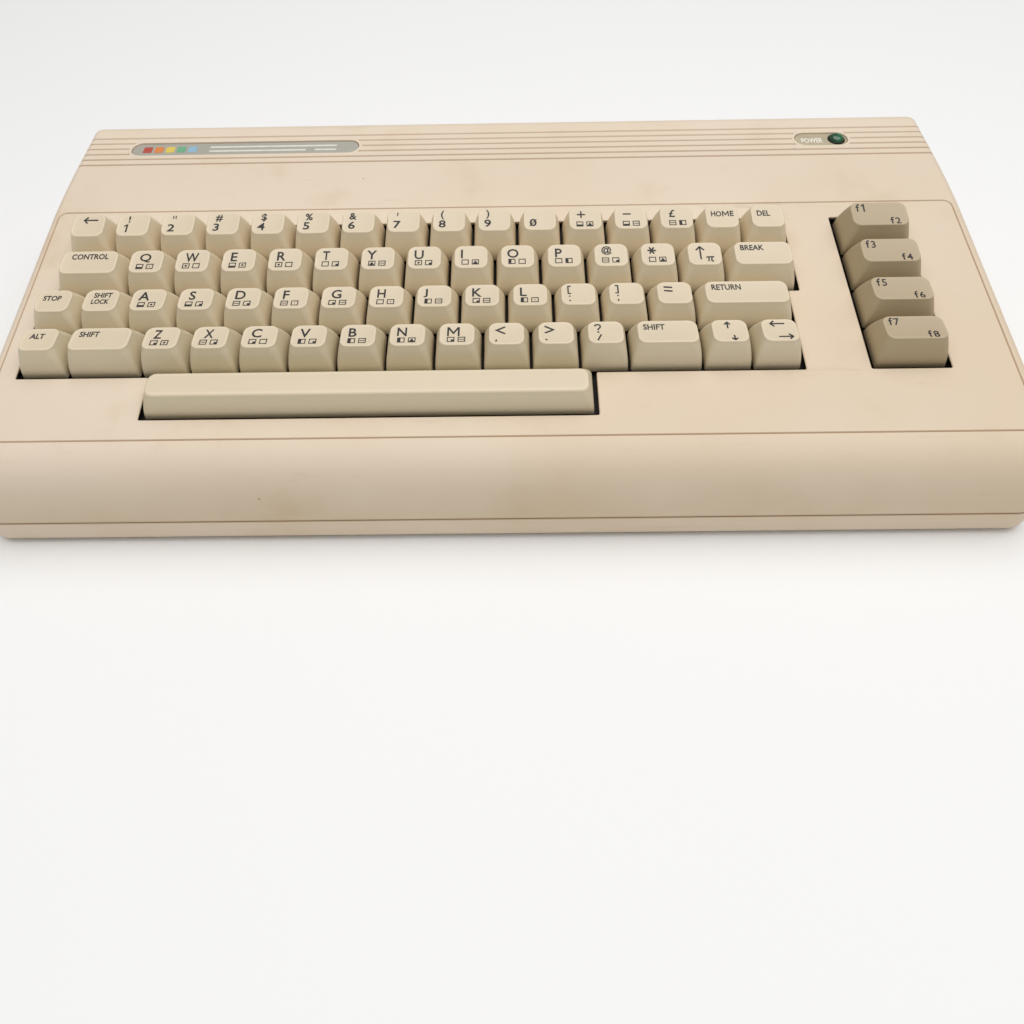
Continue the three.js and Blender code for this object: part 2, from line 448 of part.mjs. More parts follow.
// ---------------------------------------------------------------- power switch
const ROCK_X = 196.4, ROCK_REST = THREE.MathUtils.degToRad(-10);
{
  const { y, z0, z1 } = SWITCH;
  const t = MAIN_Z + MAIN_T + 0.3;
  let body = box(180, 199.2, y - 10.6, y + 10.6, t, z1 - 0.4);
  body = body.subtract(box(190, 205, y - 9.2, y + 9.2, z0 + 1.4, z1 - 1.8));
  body = body.add(box(198.2, 200.2, y - 10.6, y + 10.6, z0 + 0.4, z0 + 1.4)).add(box(198.2, 200.2, y - 10.6, y + 10.6, z1 - 1.8, z1 - 0.4))
    .add(box(198.2, 200.2, y - 10.6, y - 9.2, z0 + 0.4, z1 - 0.4)).add(box(198.2, 200.2, y + 9.2, y + 10.6, z0 + 0.4, z1 - 0.4));
  add('power_switch_body', body, BLACK());
  const pts = [[-3.2, -4.5], [3.4, -8.2], [4.0, -8.0], [2.7, 0], [4.0, 8.0], [3.4, 8.2], [-3.2, 4.5], [-4, 0]];
  const rock = prism(pts, z0 + 1.8, z1 - 2.2, M().makeRotationZ(ROCK_REST).setPosition(ROCK_X, y, 0));
  add('power_switch_rocker', rock, material(0x161616, 0.35));
}

export default group;
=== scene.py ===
import math
import random

import bmesh
import bpy
import numpy as np
from mathutils import Matrix, Vector


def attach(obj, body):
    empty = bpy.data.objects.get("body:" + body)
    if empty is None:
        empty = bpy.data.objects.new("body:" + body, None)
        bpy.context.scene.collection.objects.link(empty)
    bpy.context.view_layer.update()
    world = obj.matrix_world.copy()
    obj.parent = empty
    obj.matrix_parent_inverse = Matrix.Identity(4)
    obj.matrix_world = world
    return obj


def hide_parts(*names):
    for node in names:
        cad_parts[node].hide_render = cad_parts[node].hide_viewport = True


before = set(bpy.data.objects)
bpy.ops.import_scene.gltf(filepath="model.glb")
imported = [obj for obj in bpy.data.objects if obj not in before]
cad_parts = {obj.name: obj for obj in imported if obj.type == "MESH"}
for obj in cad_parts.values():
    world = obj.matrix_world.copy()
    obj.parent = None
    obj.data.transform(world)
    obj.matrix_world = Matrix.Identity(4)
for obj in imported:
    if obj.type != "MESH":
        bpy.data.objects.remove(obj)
MM = 0.001
SCENE = bpy.context.scene

# ------------------------------------------------------------------ shared sizes
TILT = math.radians(12)
P = 19.05
KX, KY, KZ = -184.46, -65.5, 50.7
KB = Matrix.Translation((KX, KY, KZ)) @ Matrix.Rotation(TILT, 4, "X")
HALF_W, WALL = 202.0, 2.6
SEAM = 13.4
BAND_TILT = math.atan2(75 - 72.6, 80 - 49)
PLATE_Y = 64.1
PLATE_Z = 72.6 + (75 - 72.6) * (PLATE_Y - 49) / 31
BAND = Matrix.Translation((0, PLATE_Y, PLATE_Z)) @ Matrix.Rotation(BAND_TILT, 4, "X")
GROOVES = [73.2, 68.98, 64.76, 60.54, 56.32, 52.1]


# ------------------------------------------------------------------ materials
def srgb(r, g, b):
    def f(c):
        c /= 255.0
        return c / 12.92 if c <= 0.04045 else ((c + 0.055) / 1.055) ** 2.4

    return (f(r), f(g), f(b), 1.0)


class Nodes:
    """A small helper for building a node material."""

    def __init__(self, name):
        self.mat = bpy.data.materials.new(name)
        self.mat.use_nodes = True
        self.t = self.mat.node_tree
        self.bsdf = self.t.nodes["Principled BSDF"]
        self.coord = self.t.nodes.new("ShaderNodeTexCoord").outputs["Object"]

    def new(self, kind, **sets):
        n = self.t.nodes.new(kind)
        for k, v in sets.items():
            setattr(n, k, v)
        return n

    def link(self, a, b):
        self.t.links.new(a, b)

    def scaled(self, x, y, z):
        m = self.new("ShaderNodeMapping")
        m.inputs["Scale"].default_value = (x, y, z)
        self.link(self.coord, m.inputs["Vector"])
        return m.outputs["Vector"]

    def noise(self, scale, detail=3.0, rough=0.5, vector=None, lo=None, hi=None):
        n = self.new("ShaderNodeTexNoise")
        n.inputs["Scale"].default_value = scale
        n.inputs["Detail"].default_value = detail
        n.inputs["Roughness"].default_value = rough
        self.link(vector or self.coord, n.inputs["Vector"])
        out = n.outputs["Fac"]
        if lo is not None:
            out = self.ramp(out, lo, hi)
        return out

    def ramp(self, value, lo, hi, a=0.0, b=1.0):
        r = self.new("ShaderNodeMapRange")
        r.interpolation_type = "SMOOTHSTEP"
        r.inputs["From Min"].default_value = lo
        r.inputs["From Max"].default_value = hi
        r.inputs["To Min"].default_value = a
        r.inputs["To Max"].default_value = b
        self.link(value, r.inputs["Value"])
        return r.outputs["Result"]

    def math(self, op, a, b):
        m = self.new("ShaderNodeMath", operation=op)
        for i, v in enumerate((a, b)):
            if isinstance(v, (int, float)):
                m.inputs[i].default_value = v
            else:
                self.link(v, m.inputs[i])
        return m.outputs[0]

    def mix(self, fac, a, b, blend="MIX"):
        m = self.new("ShaderNodeMix", data_type="RGBA", blend_type=blend)
        if isinstance(fac, (int, float)):
            m.inputs[0].default_value = fac
        else:
            self.link(fac, m.inputs[0])
        for i, v in ((6, a), (7, b)):
            if isinstance(v, tuple):
                m.inputs[i].default_value = v
            else:
                self.link(v, m.inputs[i])
        return m.outputs[2]

    def attr(self, name):
        return self.new("ShaderNodeAttribute", attribute_name=name).outputs["Fac"]

    def bump(self, height, strength, distance, normal=None):
        b = self.new("ShaderNodeBump")
        b.inputs["Strength"].default_value = strength
        b.inputs["Distance"].default_value = distance
        self.link(height, b.inputs["Height"])
        if normal is not None:
            self.link(normal, b.inputs["Normal"])
        return b.outputs["Normal"]

    def done(self, color=None, rough=None, normal=None, **sockets):
        for key, v in (("Base Color", color), ("Roughness", rough), ("Normal", normal)):
            if v is None:
                continue
            if isinstance(v, (tuple, int, float)):
                self.bsdf.inputs[key].default_value = v
            else:
                self.link(v, self.bsdf.inputs[key])
        for k, v in sockets.items():
            self.bsdf.inputs[k.replace("_", " ")].default_value = v
        return self.mat


def case_plastic():
    n = Nodes("case_plastic")
    base = n.mix(n.noise(7, 4, 0.55, lo=0.35, hi=0.7), srgb(230, 213, 192), srgb(225, 205, 179))
    base = n.mix(n.noise(28, 5, 0.6, lo=0.52, hi=0.78), base, srgb(221, 200, 174))
    # faint handling marks, and a few small dark specks
    marks = n.noise(16, 6, 0.7, vector=n.scaled(1, 6, 6), lo=0.62, hi=0.74)
    base = n.mix(n.math("MULTIPLY", marks, 0.35), base, srgb(196, 176, 146))
    v = n.new("ShaderNodeTexVoronoi")
    v.inputs["Scale"].default_value = 95
    v.inputs["Randomness"].default_value = 1.0
    n.link(n.coord, v.inputs["Vector"])
    speck = n.ramp(v.outputs["Distance"], 0.03, 0.075, 1.0, 0.0)
    rare = n.noise(41, 1, 0.5, lo=0.66, hi=0.7)
    base = n.mix(n.math("MULTIPLY", n.math("MULTIPLY", speck, rare), 0.55), base, srgb(120, 98, 70))
    # dust and painted shade: darker brown in the grooves, the panel line and along the seam
    xyz = n.new("ShaderNodeSeparateXYZ")
    n.link(n.coord, xyz.inputs[0])
    seam = n.ramp(n.math("ABSOLUTE", n.math("SUBTRACT", xyz.outputs["Z"], SEAM * 0.001), 0.0), 0.00025, 0.0011, 1.0, 0.0)
    base = n.mix(n.math("MULTIPLY", n.math("MAXIMUM", n.attr("dust_and_shade"), seam), 0.66), base, srgb(160, 122, 78))
    # painted shade darkens the lower half of the rounded front, more to the left and in soft blotches
    low = n.math("MULTIPLY", n.ramp(xyz.outputs["Z"], 0.015, 0.043, 1.0, 0.0), n.ramp(xyz.outputs["Y"], -0.105, -0.098, 1.0, 0.0))
    low = n.math("MULTIPLY", low, n.ramp(xyz.outputs["X"], -0.2, 0.2, 1.35, 0.65))
    low = n.math("MULTIPLY", low, n.ramp(xyz.outputs["Z"], 0.0126, 0.0142, 0.3, 1.0))
    low = n.math("MULTIPLY", low, n.math("ADD", n.math("MULTIPLY", n.noise(14, 3, 0.6, lo=0.3, hi=0.7), 0.14), 0.23))
    base = n.mix(low, base, srgb(184, 161, 112))
    # painted light makes the rear band a little lighter
    base = n.mix(n.math("MULTIPLY", n.ramp(xyz.outputs["Y"], 0.045, 0.075, 0.0, 1.0), 0.4), base, srgb(240, 224, 203))
    scr = n.noise(60, 2, 0.5, vector=n.scaled(1, 9, 9), lo=0.7, hi=0.73)
    grain = n.noise(1900, 2, 0.6)
    normal = n.bump(grain, 0.10, 0.0002)
    normal = n.bump(n.noise(420, 3, 0.6), 0.06, 0.0003, normal)
    normal = n.bump(scr, 0.10, 0.0002, normal)
    rough = n.math("ADD", n.math("MULTIPLY", n.noise(12, 4, 0.6), 0.14), 0.44)
    return n.done(base, rough, normal, Specular_IOR_Level=0.42)


def key_plastic(name, light, dark, grime_and_shade):
    n = Nodes(name)
    side = n.attr("side")      # 0 on the finger face, 1 on the skirts
    painted_light = n.attr("painted_light")      # 1 along the rounded rim of the finger face
    low = n.attr("low")        # 1 at the foot of the skirts
    base = n.mix(n.noise(30, 4, 0.6, lo=0.35, hi=0.75), light, tuple(c * 0.97 for c in light[:3]) + (1.0,))
    # painted shade: the skirts take a slightly darker copy of the key colour
    base = n.mix(side, base, dark)
    # painted highlight: a lighter copy of the key colour on the rim, and painted light on skirts behind another row
    base = n.mix(n.math("MULTIPLY", painted_light, 0.42), base, tuple(min(1.0, c * 1.17) for c in light[:3]) + (1.0,))
    # painted shade at the foot of the skirts and inside the cap, in the grime colour
    base = n.mix(n.math("MULTIPLY", low, 0.6), base, grime_and_shade)
    spots = n.noise(310, 3, 0.7, lo=0.70, hi=0.78)
    base = n.mix(n.math("MULTIPLY", spots, 0.25), base, grime_and_shade)
    normal = n.bump(n.noise(1500, 2, 0.5), 0.07, 0.0002)
    rough = n.math("ADD", n.math("MULTIPLY", side, 0.16), n.math("ADD", n.math("MULTIPLY", n.noise(90, 4, 0.6), 0.12), 0.33))
    return n.done(base, rough, normal, Specular_IOR_Level=0.45)


def plain(name, color, rough, metallic=0.0, vary=0.06, scale=60, grain=1200, bump=0.06, **kw):
    n = Nodes(name)
    dark = tuple(c * (1 - vary * 3) for c in color[:3]) + (1.0,)
    base = n.mix(n.noise(scale, 4, 0.6, lo=0.35, hi=0.75), color, dark)
    r = n.math("ADD", n.math("MULTIPLY", n.noise(scale * 1.7, 3, 0.6), 0.16), rough - 0.08)
    return n.done(base, r, n.bump(n.noise(grain, 2, 0.5), bump, 0.0002), Metallic=metallic, **kw)


def brushed(name, color, rough, metallic, along=(1, 30, 30)):
    n = Nodes(name)
    lines = n.noise(160, 3, 0.6, vector=n.scaled(*along))
    base = n.mix(lines, color, tuple(c * 0.88 for c in color[:3]) + (1.0,))
    return n.done(base, n.math("ADD", n.math("MULTIPLY", lines, 0.2), rough - 0.1), n.bump(lines, 0.05, 0.0002), Metallic=metallic)


M_CASE = case_plastic()
# each key material: face colour, a painted-shade copy for the skirts, and a colour for dirt spots and painted shade at
# the skirts' feet
M_KEY = key_plastic("key_plastic", srgb(224, 208, 181), srgb(218, 206, 178), srgb(175, 157, 122))
M_FKEY = key_plastic("function_key_plastic", srgb(189, 171, 142), srgb(181, 164, 132), srgb(145, 125, 91))
M_INK = plain("legend_ink", srgb(40, 38, 38), 0.55, vary=0.02, scale=400)
M_FRAME = plain("frame_moulding", srgb(38, 33, 28), 0.6)
M_RUBBER = plain("rubber", srgb(40, 39, 38), 0.8, vary=0.05, grain=2500, bump=0.15)
M_BLACK = plain("socket_moulding", srgb(30, 30, 31), 0.45)
M_STEEL = brushed("tinned_steel", srgb(196, 194, 188), 0.32, 1.0, (6, 6, 1))
M_PIN = plain("contact_metal", srgb(206, 178, 108), 0.3, metallic=1.0)
M_PLATE = brushed("plate_foil", srgb(196, 192, 180), 0.42, 0.35)
M_LAMP_PLATE = plain("lamp_plate", srgb(190, 178, 150), 0.42, vary=0.04, scale=200)
M_WHITE = plain("print_white", srgb(232, 228, 218), 0.5, vary=0.05, scale=500)
M_BOARD = plain("solder_mask", srgb(38, 78, 40), 0.4)
M_PHENOLIC = plain("phenolic_board", srgb(150, 116, 62), 0.5)
M_SWITCH = plain("switch_gloss", srgb(22, 22, 23), 0.28, vary=0.02)
INKS = [plain("print_" + k, srgb(*c), 0.45, vary=0.03, scale=500) for k, c in (
    ("red", (188, 82, 70)), ("orange", (226, 138, 74)), ("yellow", (232, 206, 96)), ("green", (116, 178, 138)), ("blue", (150, 190, 212)))]


# ------------------------------------------------------------------ mesh helpers
def obj_from(name, verts, faces, mat, body, matrix=None, sharp=38, slot=None, attrs=None, mats=None, face_mats=None, tidy=True):
    """verts in millimetres; matrix maps them into the object's frame, still in millimetres."""
    v = np.asarray(verts, float)
    if matrix is not None:
        m = np.array(matrix)
        v = v @ m[:3, :3].T + m[:3, 3]
    me = bpy.data.meshes.new(name)
    me.from_pydata([tuple(p) for p in v * MM], [], [tuple(f) for f in faces])
    for k, a in (attrs or {}).items():
        at = me.attributes.new(k, "FLOAT", "POINT")
        at.data.foreach_set("value", np.asarray(a, np.float32))
    for m in (mats or [mat]):
        me.materials.append(m)
    if face_mats is not None:
        me.polygons.foreach_set("material_index", face_mats)
    if tidy:
        bm = bmesh.new()
        bm.from_mesh(me)
        bmesh.ops.recalc_face_normals(bm, faces=bm.faces)
        bm.to_mesh(me)
        bm.free()
    o = bpy.data.objects.new(name, me)
    SCENE.collection.objects.link(o)
    shade(o, sharp)
    if body:
        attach(o, body)
    return o


def shade(o, sharp=38):
    me = o.data
    me.polygons.foreach_set("use_smooth", [True] * len(me.polygons))
    me.set_sharp_from_angle(angle=math.radians(sharp))
    me.update()


def weighted(o):
    m = o.modifiers.new("weighted_normals", "WEIGHTED_NORMAL")
    m.keep_sharp = True
    m.weight = 60


def round_rect(x0, x1, y0, y1, r, n=6):
    r = max(1e-3, min(r, (x1 - x0) / 2 - 1e-3, (y1 - y0) / 2 - 1e-3))
    pts = []
    for cx, cy, a in ((x1 - r, y0 + r, -90), (x1 - r, y1 - r, 0), (x0 + r, y1 - r, 90), (x0 + r, y0 + r, 180)):
        for i in range(n + 1):
            t = math.radians(a + 90 * i / n)
            pts.append((cx + r * math.cos(t), cy + r * math.sin(t)))
    return pts


def round_poly(pts, radii, n=5):
    """A closed outline with rounded corners. radii is one number or one for each corner."""
    out, k = [], len(pts)
    for i, p in enumerate(pts):
        r = radii[i] if isinstance(radii, (list, tuple)) else radii
        p, a, b = Vector(p), Vector(pts[i - 1]), Vector(pts[(i + 1) % k])
        u, v = (a - p).normalized(), (b - p).normalized()
        ang = u.angle(v)
        d = r / math.tan(ang / 2)
        c = p + (u + v).normalized() * (r / math.sin(ang / 2))
        s, e = p + u * d - c, p + v * d - c
        a0 = math.atan2(s.y, s.x)
        da = math.atan2(e.y, e.x) - a0
        da = (da + math.pi) % (2 * math.pi) - math.pi
        for j in range(n + 1):
            t = a0 + da * j / n
            out.append((c.x + r * math.cos(t), c.y + r * math.sin(t)))
    return out


def offset(pts, d):
    """A closed anticlockwise outline moved outwards by d."""
    out, k = [], len(pts)
    for i, p in enumerate(pts):
        a, b = pts[i - 1], pts[(i + 1) % k]
        u = (p[0] - a[0], p[1] - a[1])
        v = (b[0] - p[0], b[1] - p[1])
        lu, lv = math.hypot(*u) or 1, math.hypot(*v) or 1
        n1, n2 = (u[1] / lu, -u[0] / lu), (v[1] / lv, -v[0] / lv)
        q = max(0.3, 1 + n1[0] * n2[0] + n1[1] * n2[1])
        out.append((p[0] + d * (n1[0] + n2[0]) / q, p[1] + d * (n1[1] + n2[1]) / q))
    return out


def rings_mesh(rings, cap_first=True, cap_last=True):
    """Closed solid from a stack of rings with the same number of points."""
    verts = [p for r in rings for p in r]
    k = len(rings[0])
    faces = []
    for i in range(len(rings) - 1):
        a, b = i * k, (i + 1) * k
        for j in range(k):
            j2 = (j + 1) % k
            faces.append((a + j, a + j2, b + j2, b + j))
    if cap_first:
        faces.append(tuple(reversed(range(k))))
    if cap_last:
        faces.append(tuple(range((len(rings) - 1) * k, len(rings) * k)))
    return verts, faces


def prism(pts, z0, z1):
    return rings_mesh([[(x, y, z0) for x, y in pts], [(x, y, z1) for x, y in pts]])


def flared(pts, levels):
    """A cutter: the outline moved outwards by o at height z, for each (z, o)."""
    return rings_mesh([[(x, y, z) for x, y in offset(pts, o)] for z, o in levels])


def lathe(profile, n=32, axis="z"):
    """Solid of revolution of [(r, z)], closed on its axis."""
    verts, faces, rows = [], [], []
    for r, z in profile:
        if r < 1e-6:
            rows.append([len(verts)])
            verts.append((0, 0, z))
        else:
            rows.append(list(range(len(verts), len(verts) + n)))
            verts += [(r * math.cos(2 * math.pi * i / n), r * math.sin(2 * math.pi * i / n), z) for i in range(n)]
    for a, b in zip(rows, rows[1:]):
        for i in range(n):
            j = (i + 1) % n
            f = [a[i % len(a)], a[j % len(a)], b[j % len(b)], b[i % len(b)]]
            f = [q for k, q in enumerate(f) if q != f[k - 1]]
            if len(f) > 2:
                faces.append(tuple(f))
    if axis == "y":
        verts = [(x, z, -y) for x, y, z in verts]
    if axis == "x":
        verts = [(z, y, -x) for x, y, z in verts]
    return verts, faces


def join_parts(parts):
    """[(verts, faces)] to one pair."""
    V, Fs = [], []
    for v, f in parts:
        k = len(V)
        V += list(v)
        Fs += [tuple(i + k for i in q) for q in f]
    return V, Fs


def moved(part, dx=0, dy=0, dz=0, matrix=None):
    v, f = part
    if matrix is not None:
        v = [tuple(matrix @ Vector(p)) for p in v]
    return [(x + dx, y + dy, z + dz) for x, y, z in v], f


def box_part(x0, x1, y0, y1, z0, z1, bevel=0.0, n=2):
    if bevel <= 0:
        return prism([(x0, y0), (x1, y0), (x1, y1), (x0, y1)], z0, z1)
    rings = []
    for z, s in ((z0, 1), (z1, -1)):
        rr = []
        for k in range(n + 1):
            a = math.pi / 2 * k / n
            rr.append([(x, y, z + s * bevel * (1 - math.sin(a))) for x, y in round_rect(
                x0 + bevel * (1 - math.cos(a)), x1 - bevel * (1 - math.cos(a)),
                y0 + bevel * (1 - math.cos(a)), y1 - bevel * (1 - math.cos(a)), max(0.02, bevel * math.cos(a)), 3)])
        rr = list(reversed(rr))
        rings += rr if s > 0 else list(reversed(rr))
    return rings_mesh(rings)


def cut(o, parts, op="DIFFERENCE"):
    """Boolean of o with each part in turn, applied straight away."""
    for part, matrix in parts:
        v, f = part
        if matrix is not None:
            v = [tuple(matrix @ Vector(p)) for p in v]
        c = obj_from("cutter", v, f, None, None)
        c.data.materials.clear()
        m = o.modifiers.new("cut", "BOOLEAN")
        m.operation = op
        m.solver = "MANIFOLD"
        m.object = c
        dg = bpy.context.evaluated_depsgraph_get()
        me = bpy.data.meshes.new_from_object(o.evaluated_get(dg))
        o.modifiers.clear()
        old = o.data
        o.data = me
        bpy.data.meshes.remove(old)
        bpy.data.objects.remove(c)
    return o


# ------------------------------------------------------------------ shells
def smooth_line(pts, steps, start=None, end=None, straight=14.0):
    """Hermite curve through the points; segments longer than `straight` stay single."""
    p = [np.array(q, float) for q in pts]
    d = [p[i + 1] - p[i] for i in range(len(p) - 1)]
    tang = []
    for i in range(len(p)):
        if i == 0:
            t = np.array(start, float) if start else d[0]
        elif i == len(p) - 1:
            t = np.array(end, float) if end else d[-1]
        else:
            a, b = d[i - 1], d[i]
            la, lb = np.linalg.norm(a), np.linalg.norm(b)
            wa, wb = la, lb
            if la > straight:
                wa, wb = 1.0, 0.0
            if lb > straight:
                wa, wb = 0.0, 1.0
            if la <= straight and lb <= straight:
                wa, wb = lb, la
            t = a / la * wa + b / lb * wb
        tang.append(t / np.linalg.norm(t))
    out, nrm = [], []
    for i in range(len(d)):
        L = np.linalg.norm(d[i])
        n = 1 if L > straight else steps
        for k in range(n):
            t = k / n
            h = (2 * t**3 - 3 * t**2 + 1, t**3 - 2 * t**2 + t, -2 * t**3 + 3 * t**2, t**3 - t**2)
            g = (6 * t**2 - 6 * t, 3 * t**2 - 4 * t + 1, -6 * t**2 + 6 * t, 3 * t**2 - 2 * t)
            out.append(h[0] * p[i] + h[1] * L * tang[i] + h[2] * p[i + 1] + h[3] * L * tang[i + 1])
            q = g[0] * p[i] + g[1] * L * tang[i] + g[2] * p[i + 1] + g[3] * L * tang[i + 1]
            nrm.append(q / np.linalg.norm(q))
    out.append(p[-1])
    nrm.append(tang[-1])
    return out, nrm


def shell_part(line, tangents, side, seam_z, notch=None):
    """Hollow shell, open at the seam: the side outline run across the width, with rounded ends and flat side walls.

    side is +1 for the upper shell and -1 for the lower. notch gives a small depth for each point of the outline.
    """
    n = len(line)
    phis = [math.radians(a) for a in (90, 78, 66, 54, 42, 30, 18, 8, 0)]

    def surface(inward):
        def side_notch(i, a):
            """The grooves run on over the rounded side edges."""
            if inward or notch is None:
                return 0.0
            return notch[i] * math.sin(a) * min(1.0, max(0.0, (math.radians(90) - a) / math.radians(14)))

        rows = []
        for i in range(n):
            t = tangents[i]
            nv = np.array([-t[1], t[0]]) * side
            if i in (0, n - 1):
                nv = np.array([math.copysign(1.0, nv[0]), 0.0])
            p = line[i] - nv * inward
            if inward == 0 and notch is not None:
                p = p - nv * notch[i]
            k = min(1.0, max(0.0, (abs(nv[0]) - 0.35) / 0.6))
            k = k * k * (3 - 2 * k)
            rho = 3.6 + (9.0 - 3.6) * k
            if inward:
                rho = max(1.2, rho - inward)
            half = HALF_W - inward - 0.012 * max(0.0, p[1] - SEAM)
            row = []
            for a in phis:
                q = p - nv * rho * (1 - math.cos(a))
                row.append((-(half - rho * (1 - math.sin(a)) - side_notch(i, a)), q[0], q[1]))
            mid = 10
            xa = half - rho
            for j in range(1, mid):
                row.append((-xa + 2 * xa * j / mid, p[0], p[1]))
            for a in reversed(phis):
                q = p - nv * rho * (1 - math.cos(a))
                row.append((half - rho * (1 - math.sin(a)) - side_notch(i, a), q[0], q[1]))
            if i in (0, n - 1):
                row = [(x, y, seam_z) for x, y, z in row]
            rows.append(row)
        return rows

    out, inn = surface(0.0), surface(WALL)
    w = len(out[0])
    verts = [p for r in out for p in r] + [p for r in inn for p in r]
    base = n * w
    faces = []
    for i in range(n - 1):
        for j in range(w - 1):
            a, b, c, d = i * w + j, i * w + j + 1, (i + 1) * w + j + 1, (i + 1) * w + j
            faces.append((a, b, c, d))
            faces.append((base + d, base + c, base + b, base + a))
    # side walls
    left = [i * w for i in range(n)]
    right = [i * w + w - 1 for i in range(n)]
    faces.append(tuple(left))
    faces.append(tuple(reversed(right)))
    faces.append(tuple(base + i for i in reversed(left)))
    faces.append(tuple(base + i for i in right))
    # the rim along the seam
    loop = list(range(0, w)) + [(n - 1) * w + j for j in range(w - 1, -1, -1)]
    for k in range(len(loop)):
        a, b = loop[k], loop[(k + 1) % len(loop)]
        faces.append((b, a, base + a, base + b))
    return verts, faces


FRONT = [(-107.62, SEAM + 0.2), (-107.98, 20.5), (-107.7, 27.2), (-106.2, 33.7), (-103.2, 39.0), (-98.8, 42.8), (-94.3, 44.6)]
REAR = [(80, 74.98), (84.2, 73.4), (87.0, 70.4), (88.8, 66.5), (107.74, SEAM + 0.2)]
slope = np.array([31.0, 2.4]) / math.hypot(31.0, 2.4)
line, tang = smooth_line(FRONT + [(19.7, 68.8), (34, 70.9), (49, 72.6)], 5, start=(-0.05, 1.0), end=tuple(slope))
notch = [0.0] * len(line)
line, tang = line[:-1], tang[:-1]
notch = notch[:-1]
p0 = np.array([49, 72.6])
line.append(p0)
tang.append(slope)
notch.append(0.0)
for y in sorted(GROOVES):
    for dy, dep in ((-0.85, 0.0), (-0.62, 0.05), (-0.42, 0.30), (-0.22, 0.62), (0.0, 0.70), (0.22, 0.62), (0.42, 0.30), (0.62, 0.05), (0.85, 0.0)):
        yy = y + dy
        line.append(p0 + slope * ((yy - 49) / slope[0]))
        tang.append(slope)
        notch.append(dep)
rl, rt = smooth_line([(77, 74.75)] + REAR, 5, start=tuple(slope), end=(18.94, -53.9))
line += rl
tang += rt
notch += [0.0] * len(rl)

v, f = shell_part(line, tang, 1, SEAM + 0.2, notch)
top = obj_from("top_shell", v, f, M_CASE, None)

G_SIDE, G_FRONT, G_REAR = 1.2, 1.15, 1.38
main_well = [
    (-0.25 * P - G_SIDE, -G_FRONT), (2.5 * P - G_SIDE, -G_FRONT), (2.5 * P - G_SIDE, -P - G_FRONT),
    (11.5 * P + G_SIDE, -P - G_FRONT), (11.5 * P + G_SIDE, -G_FRONT), (15.75 * P + G_SIDE, -G_FRONT),
    (15.75 * P + G_SIDE, 2 * P - 0.66), (16 * P + G_SIDE, 2 * P - 0.66), (16 * P + G_SIDE, 4 * P + G_REAR),
    (-G_SIDE, 4 * P + G_REAR), (-G_SIDE, 2 * P + 0.66), (-0.25 * P - G_SIDE, 2 * P + 0.66)]
FU0, FU1 = 17.19, 18.69
f_well = [(FU0 * P - 1.2, -G_FRONT), (FU1 * P + 1.2, -G_FRONT), (FU1 * P + 1.2, 4 * P + G_REAR), (FU0 * P - 1.2, 4 * P + G_REAR)]
WELL_R = 0.7
# the edges lean away below their rounded lip
flare = [(-6, 1.3), (-2.7, 0.95), (-0.95, 0.42), (-0.62, 0.12), (-0.5, 0.0), (-0.3, 0.05), (-0.14, 0.18), (0.0, 0.42), (0.3, 0.62), (3, 0.62)]
cut(top, [(flared(round_poly(w, WELL_R, 4), flare), KB) for w in (main_well, f_well)])
# the fine line round the keyboard panel
LX0, LX1, LY0, LY1, LINE_R = -13.54, 382.0, -29.3, 87.0, 4.0


def line_ring(x0, x1, y0, y1, r, wide, deep):
    outer, inner = round_rect(x0, x1, y0, y1, r, 8), round_rect(x0 + wide, x1 - wide, y0 + wide, y1 - wide, r - wide, 8)
    mid = round_rect(x0 + wide / 2, x1 - wide / 2, y0 + wide / 2, y1 - wide / 2, r - wide / 2, 8)
    k = len(outer)
    rings = [[(x, y, 0.5) for x, y in outer], [(x, y, 0.0) for x, y in outer], [(x, y, -deep) for x, y in mid],
             [(x, y, 0.0) for x, y in inner], [(x, y, 0.5) for x, y in inner]]
    verts = [p for r_ in rings for p in r_]
    faces = []
    for i in range(5):
        a, b = i * k, ((i + 1) % 5) * k
        for j in range(k):
            faces.append((a + j, b + j, b + (j + 1) % k, a + (j + 1) % k))
    return verts, faces


cut(top, [(line_ring(LX0, LX1, LY0, LY1, LINE_R, 0.8, 0.55), KB)])


# plates: a raised rim round a sunk oval
def stadium(cx, hx, hy, n=12):
    return round_rect(cx - hx, cx + hx, -hy, hy, hy, n)


BADGE_X, BADGE_HALF, PLATE_HH = -123.3, 54.5, 5.0
LAMP_PX, LAMP_PHALF, LAMP_X, LAMP_HOLE = 150.9, 12.5, 158.2, 4.05
for cx, hx in ((BADGE_X, BADGE_HALF), (LAMP_PX, LAMP_PHALF)):
    s = stadium(cx, hx, PLATE_HH)
    rim = flared(s, [(-1.9, 1.5), (-0.5, 1.5), (0.0, 1.47), (0.13, 1.32), (0.23, 1.0), (0.26, 0.65), (0.22, 0.25)])
    cut(top, [(rim, BAND)], "UNION")
    cut(top, [(flared(s, [(-1.6, -0.02), (-0.05, 0.0), (0.12, 0.1), (0.24, 0.34), (3, 0.34)]), BAND)])
circle = lambda cx, r, n=28: [(cx + r * math.cos(2 * math.pi * i / n), r * math.sin(2 * math.pi * i / n)) for i in range(n)]
cut(top, [(prism(circle(LAMP_X, LAMP_HOLE), -9, -0.5), BAND)])

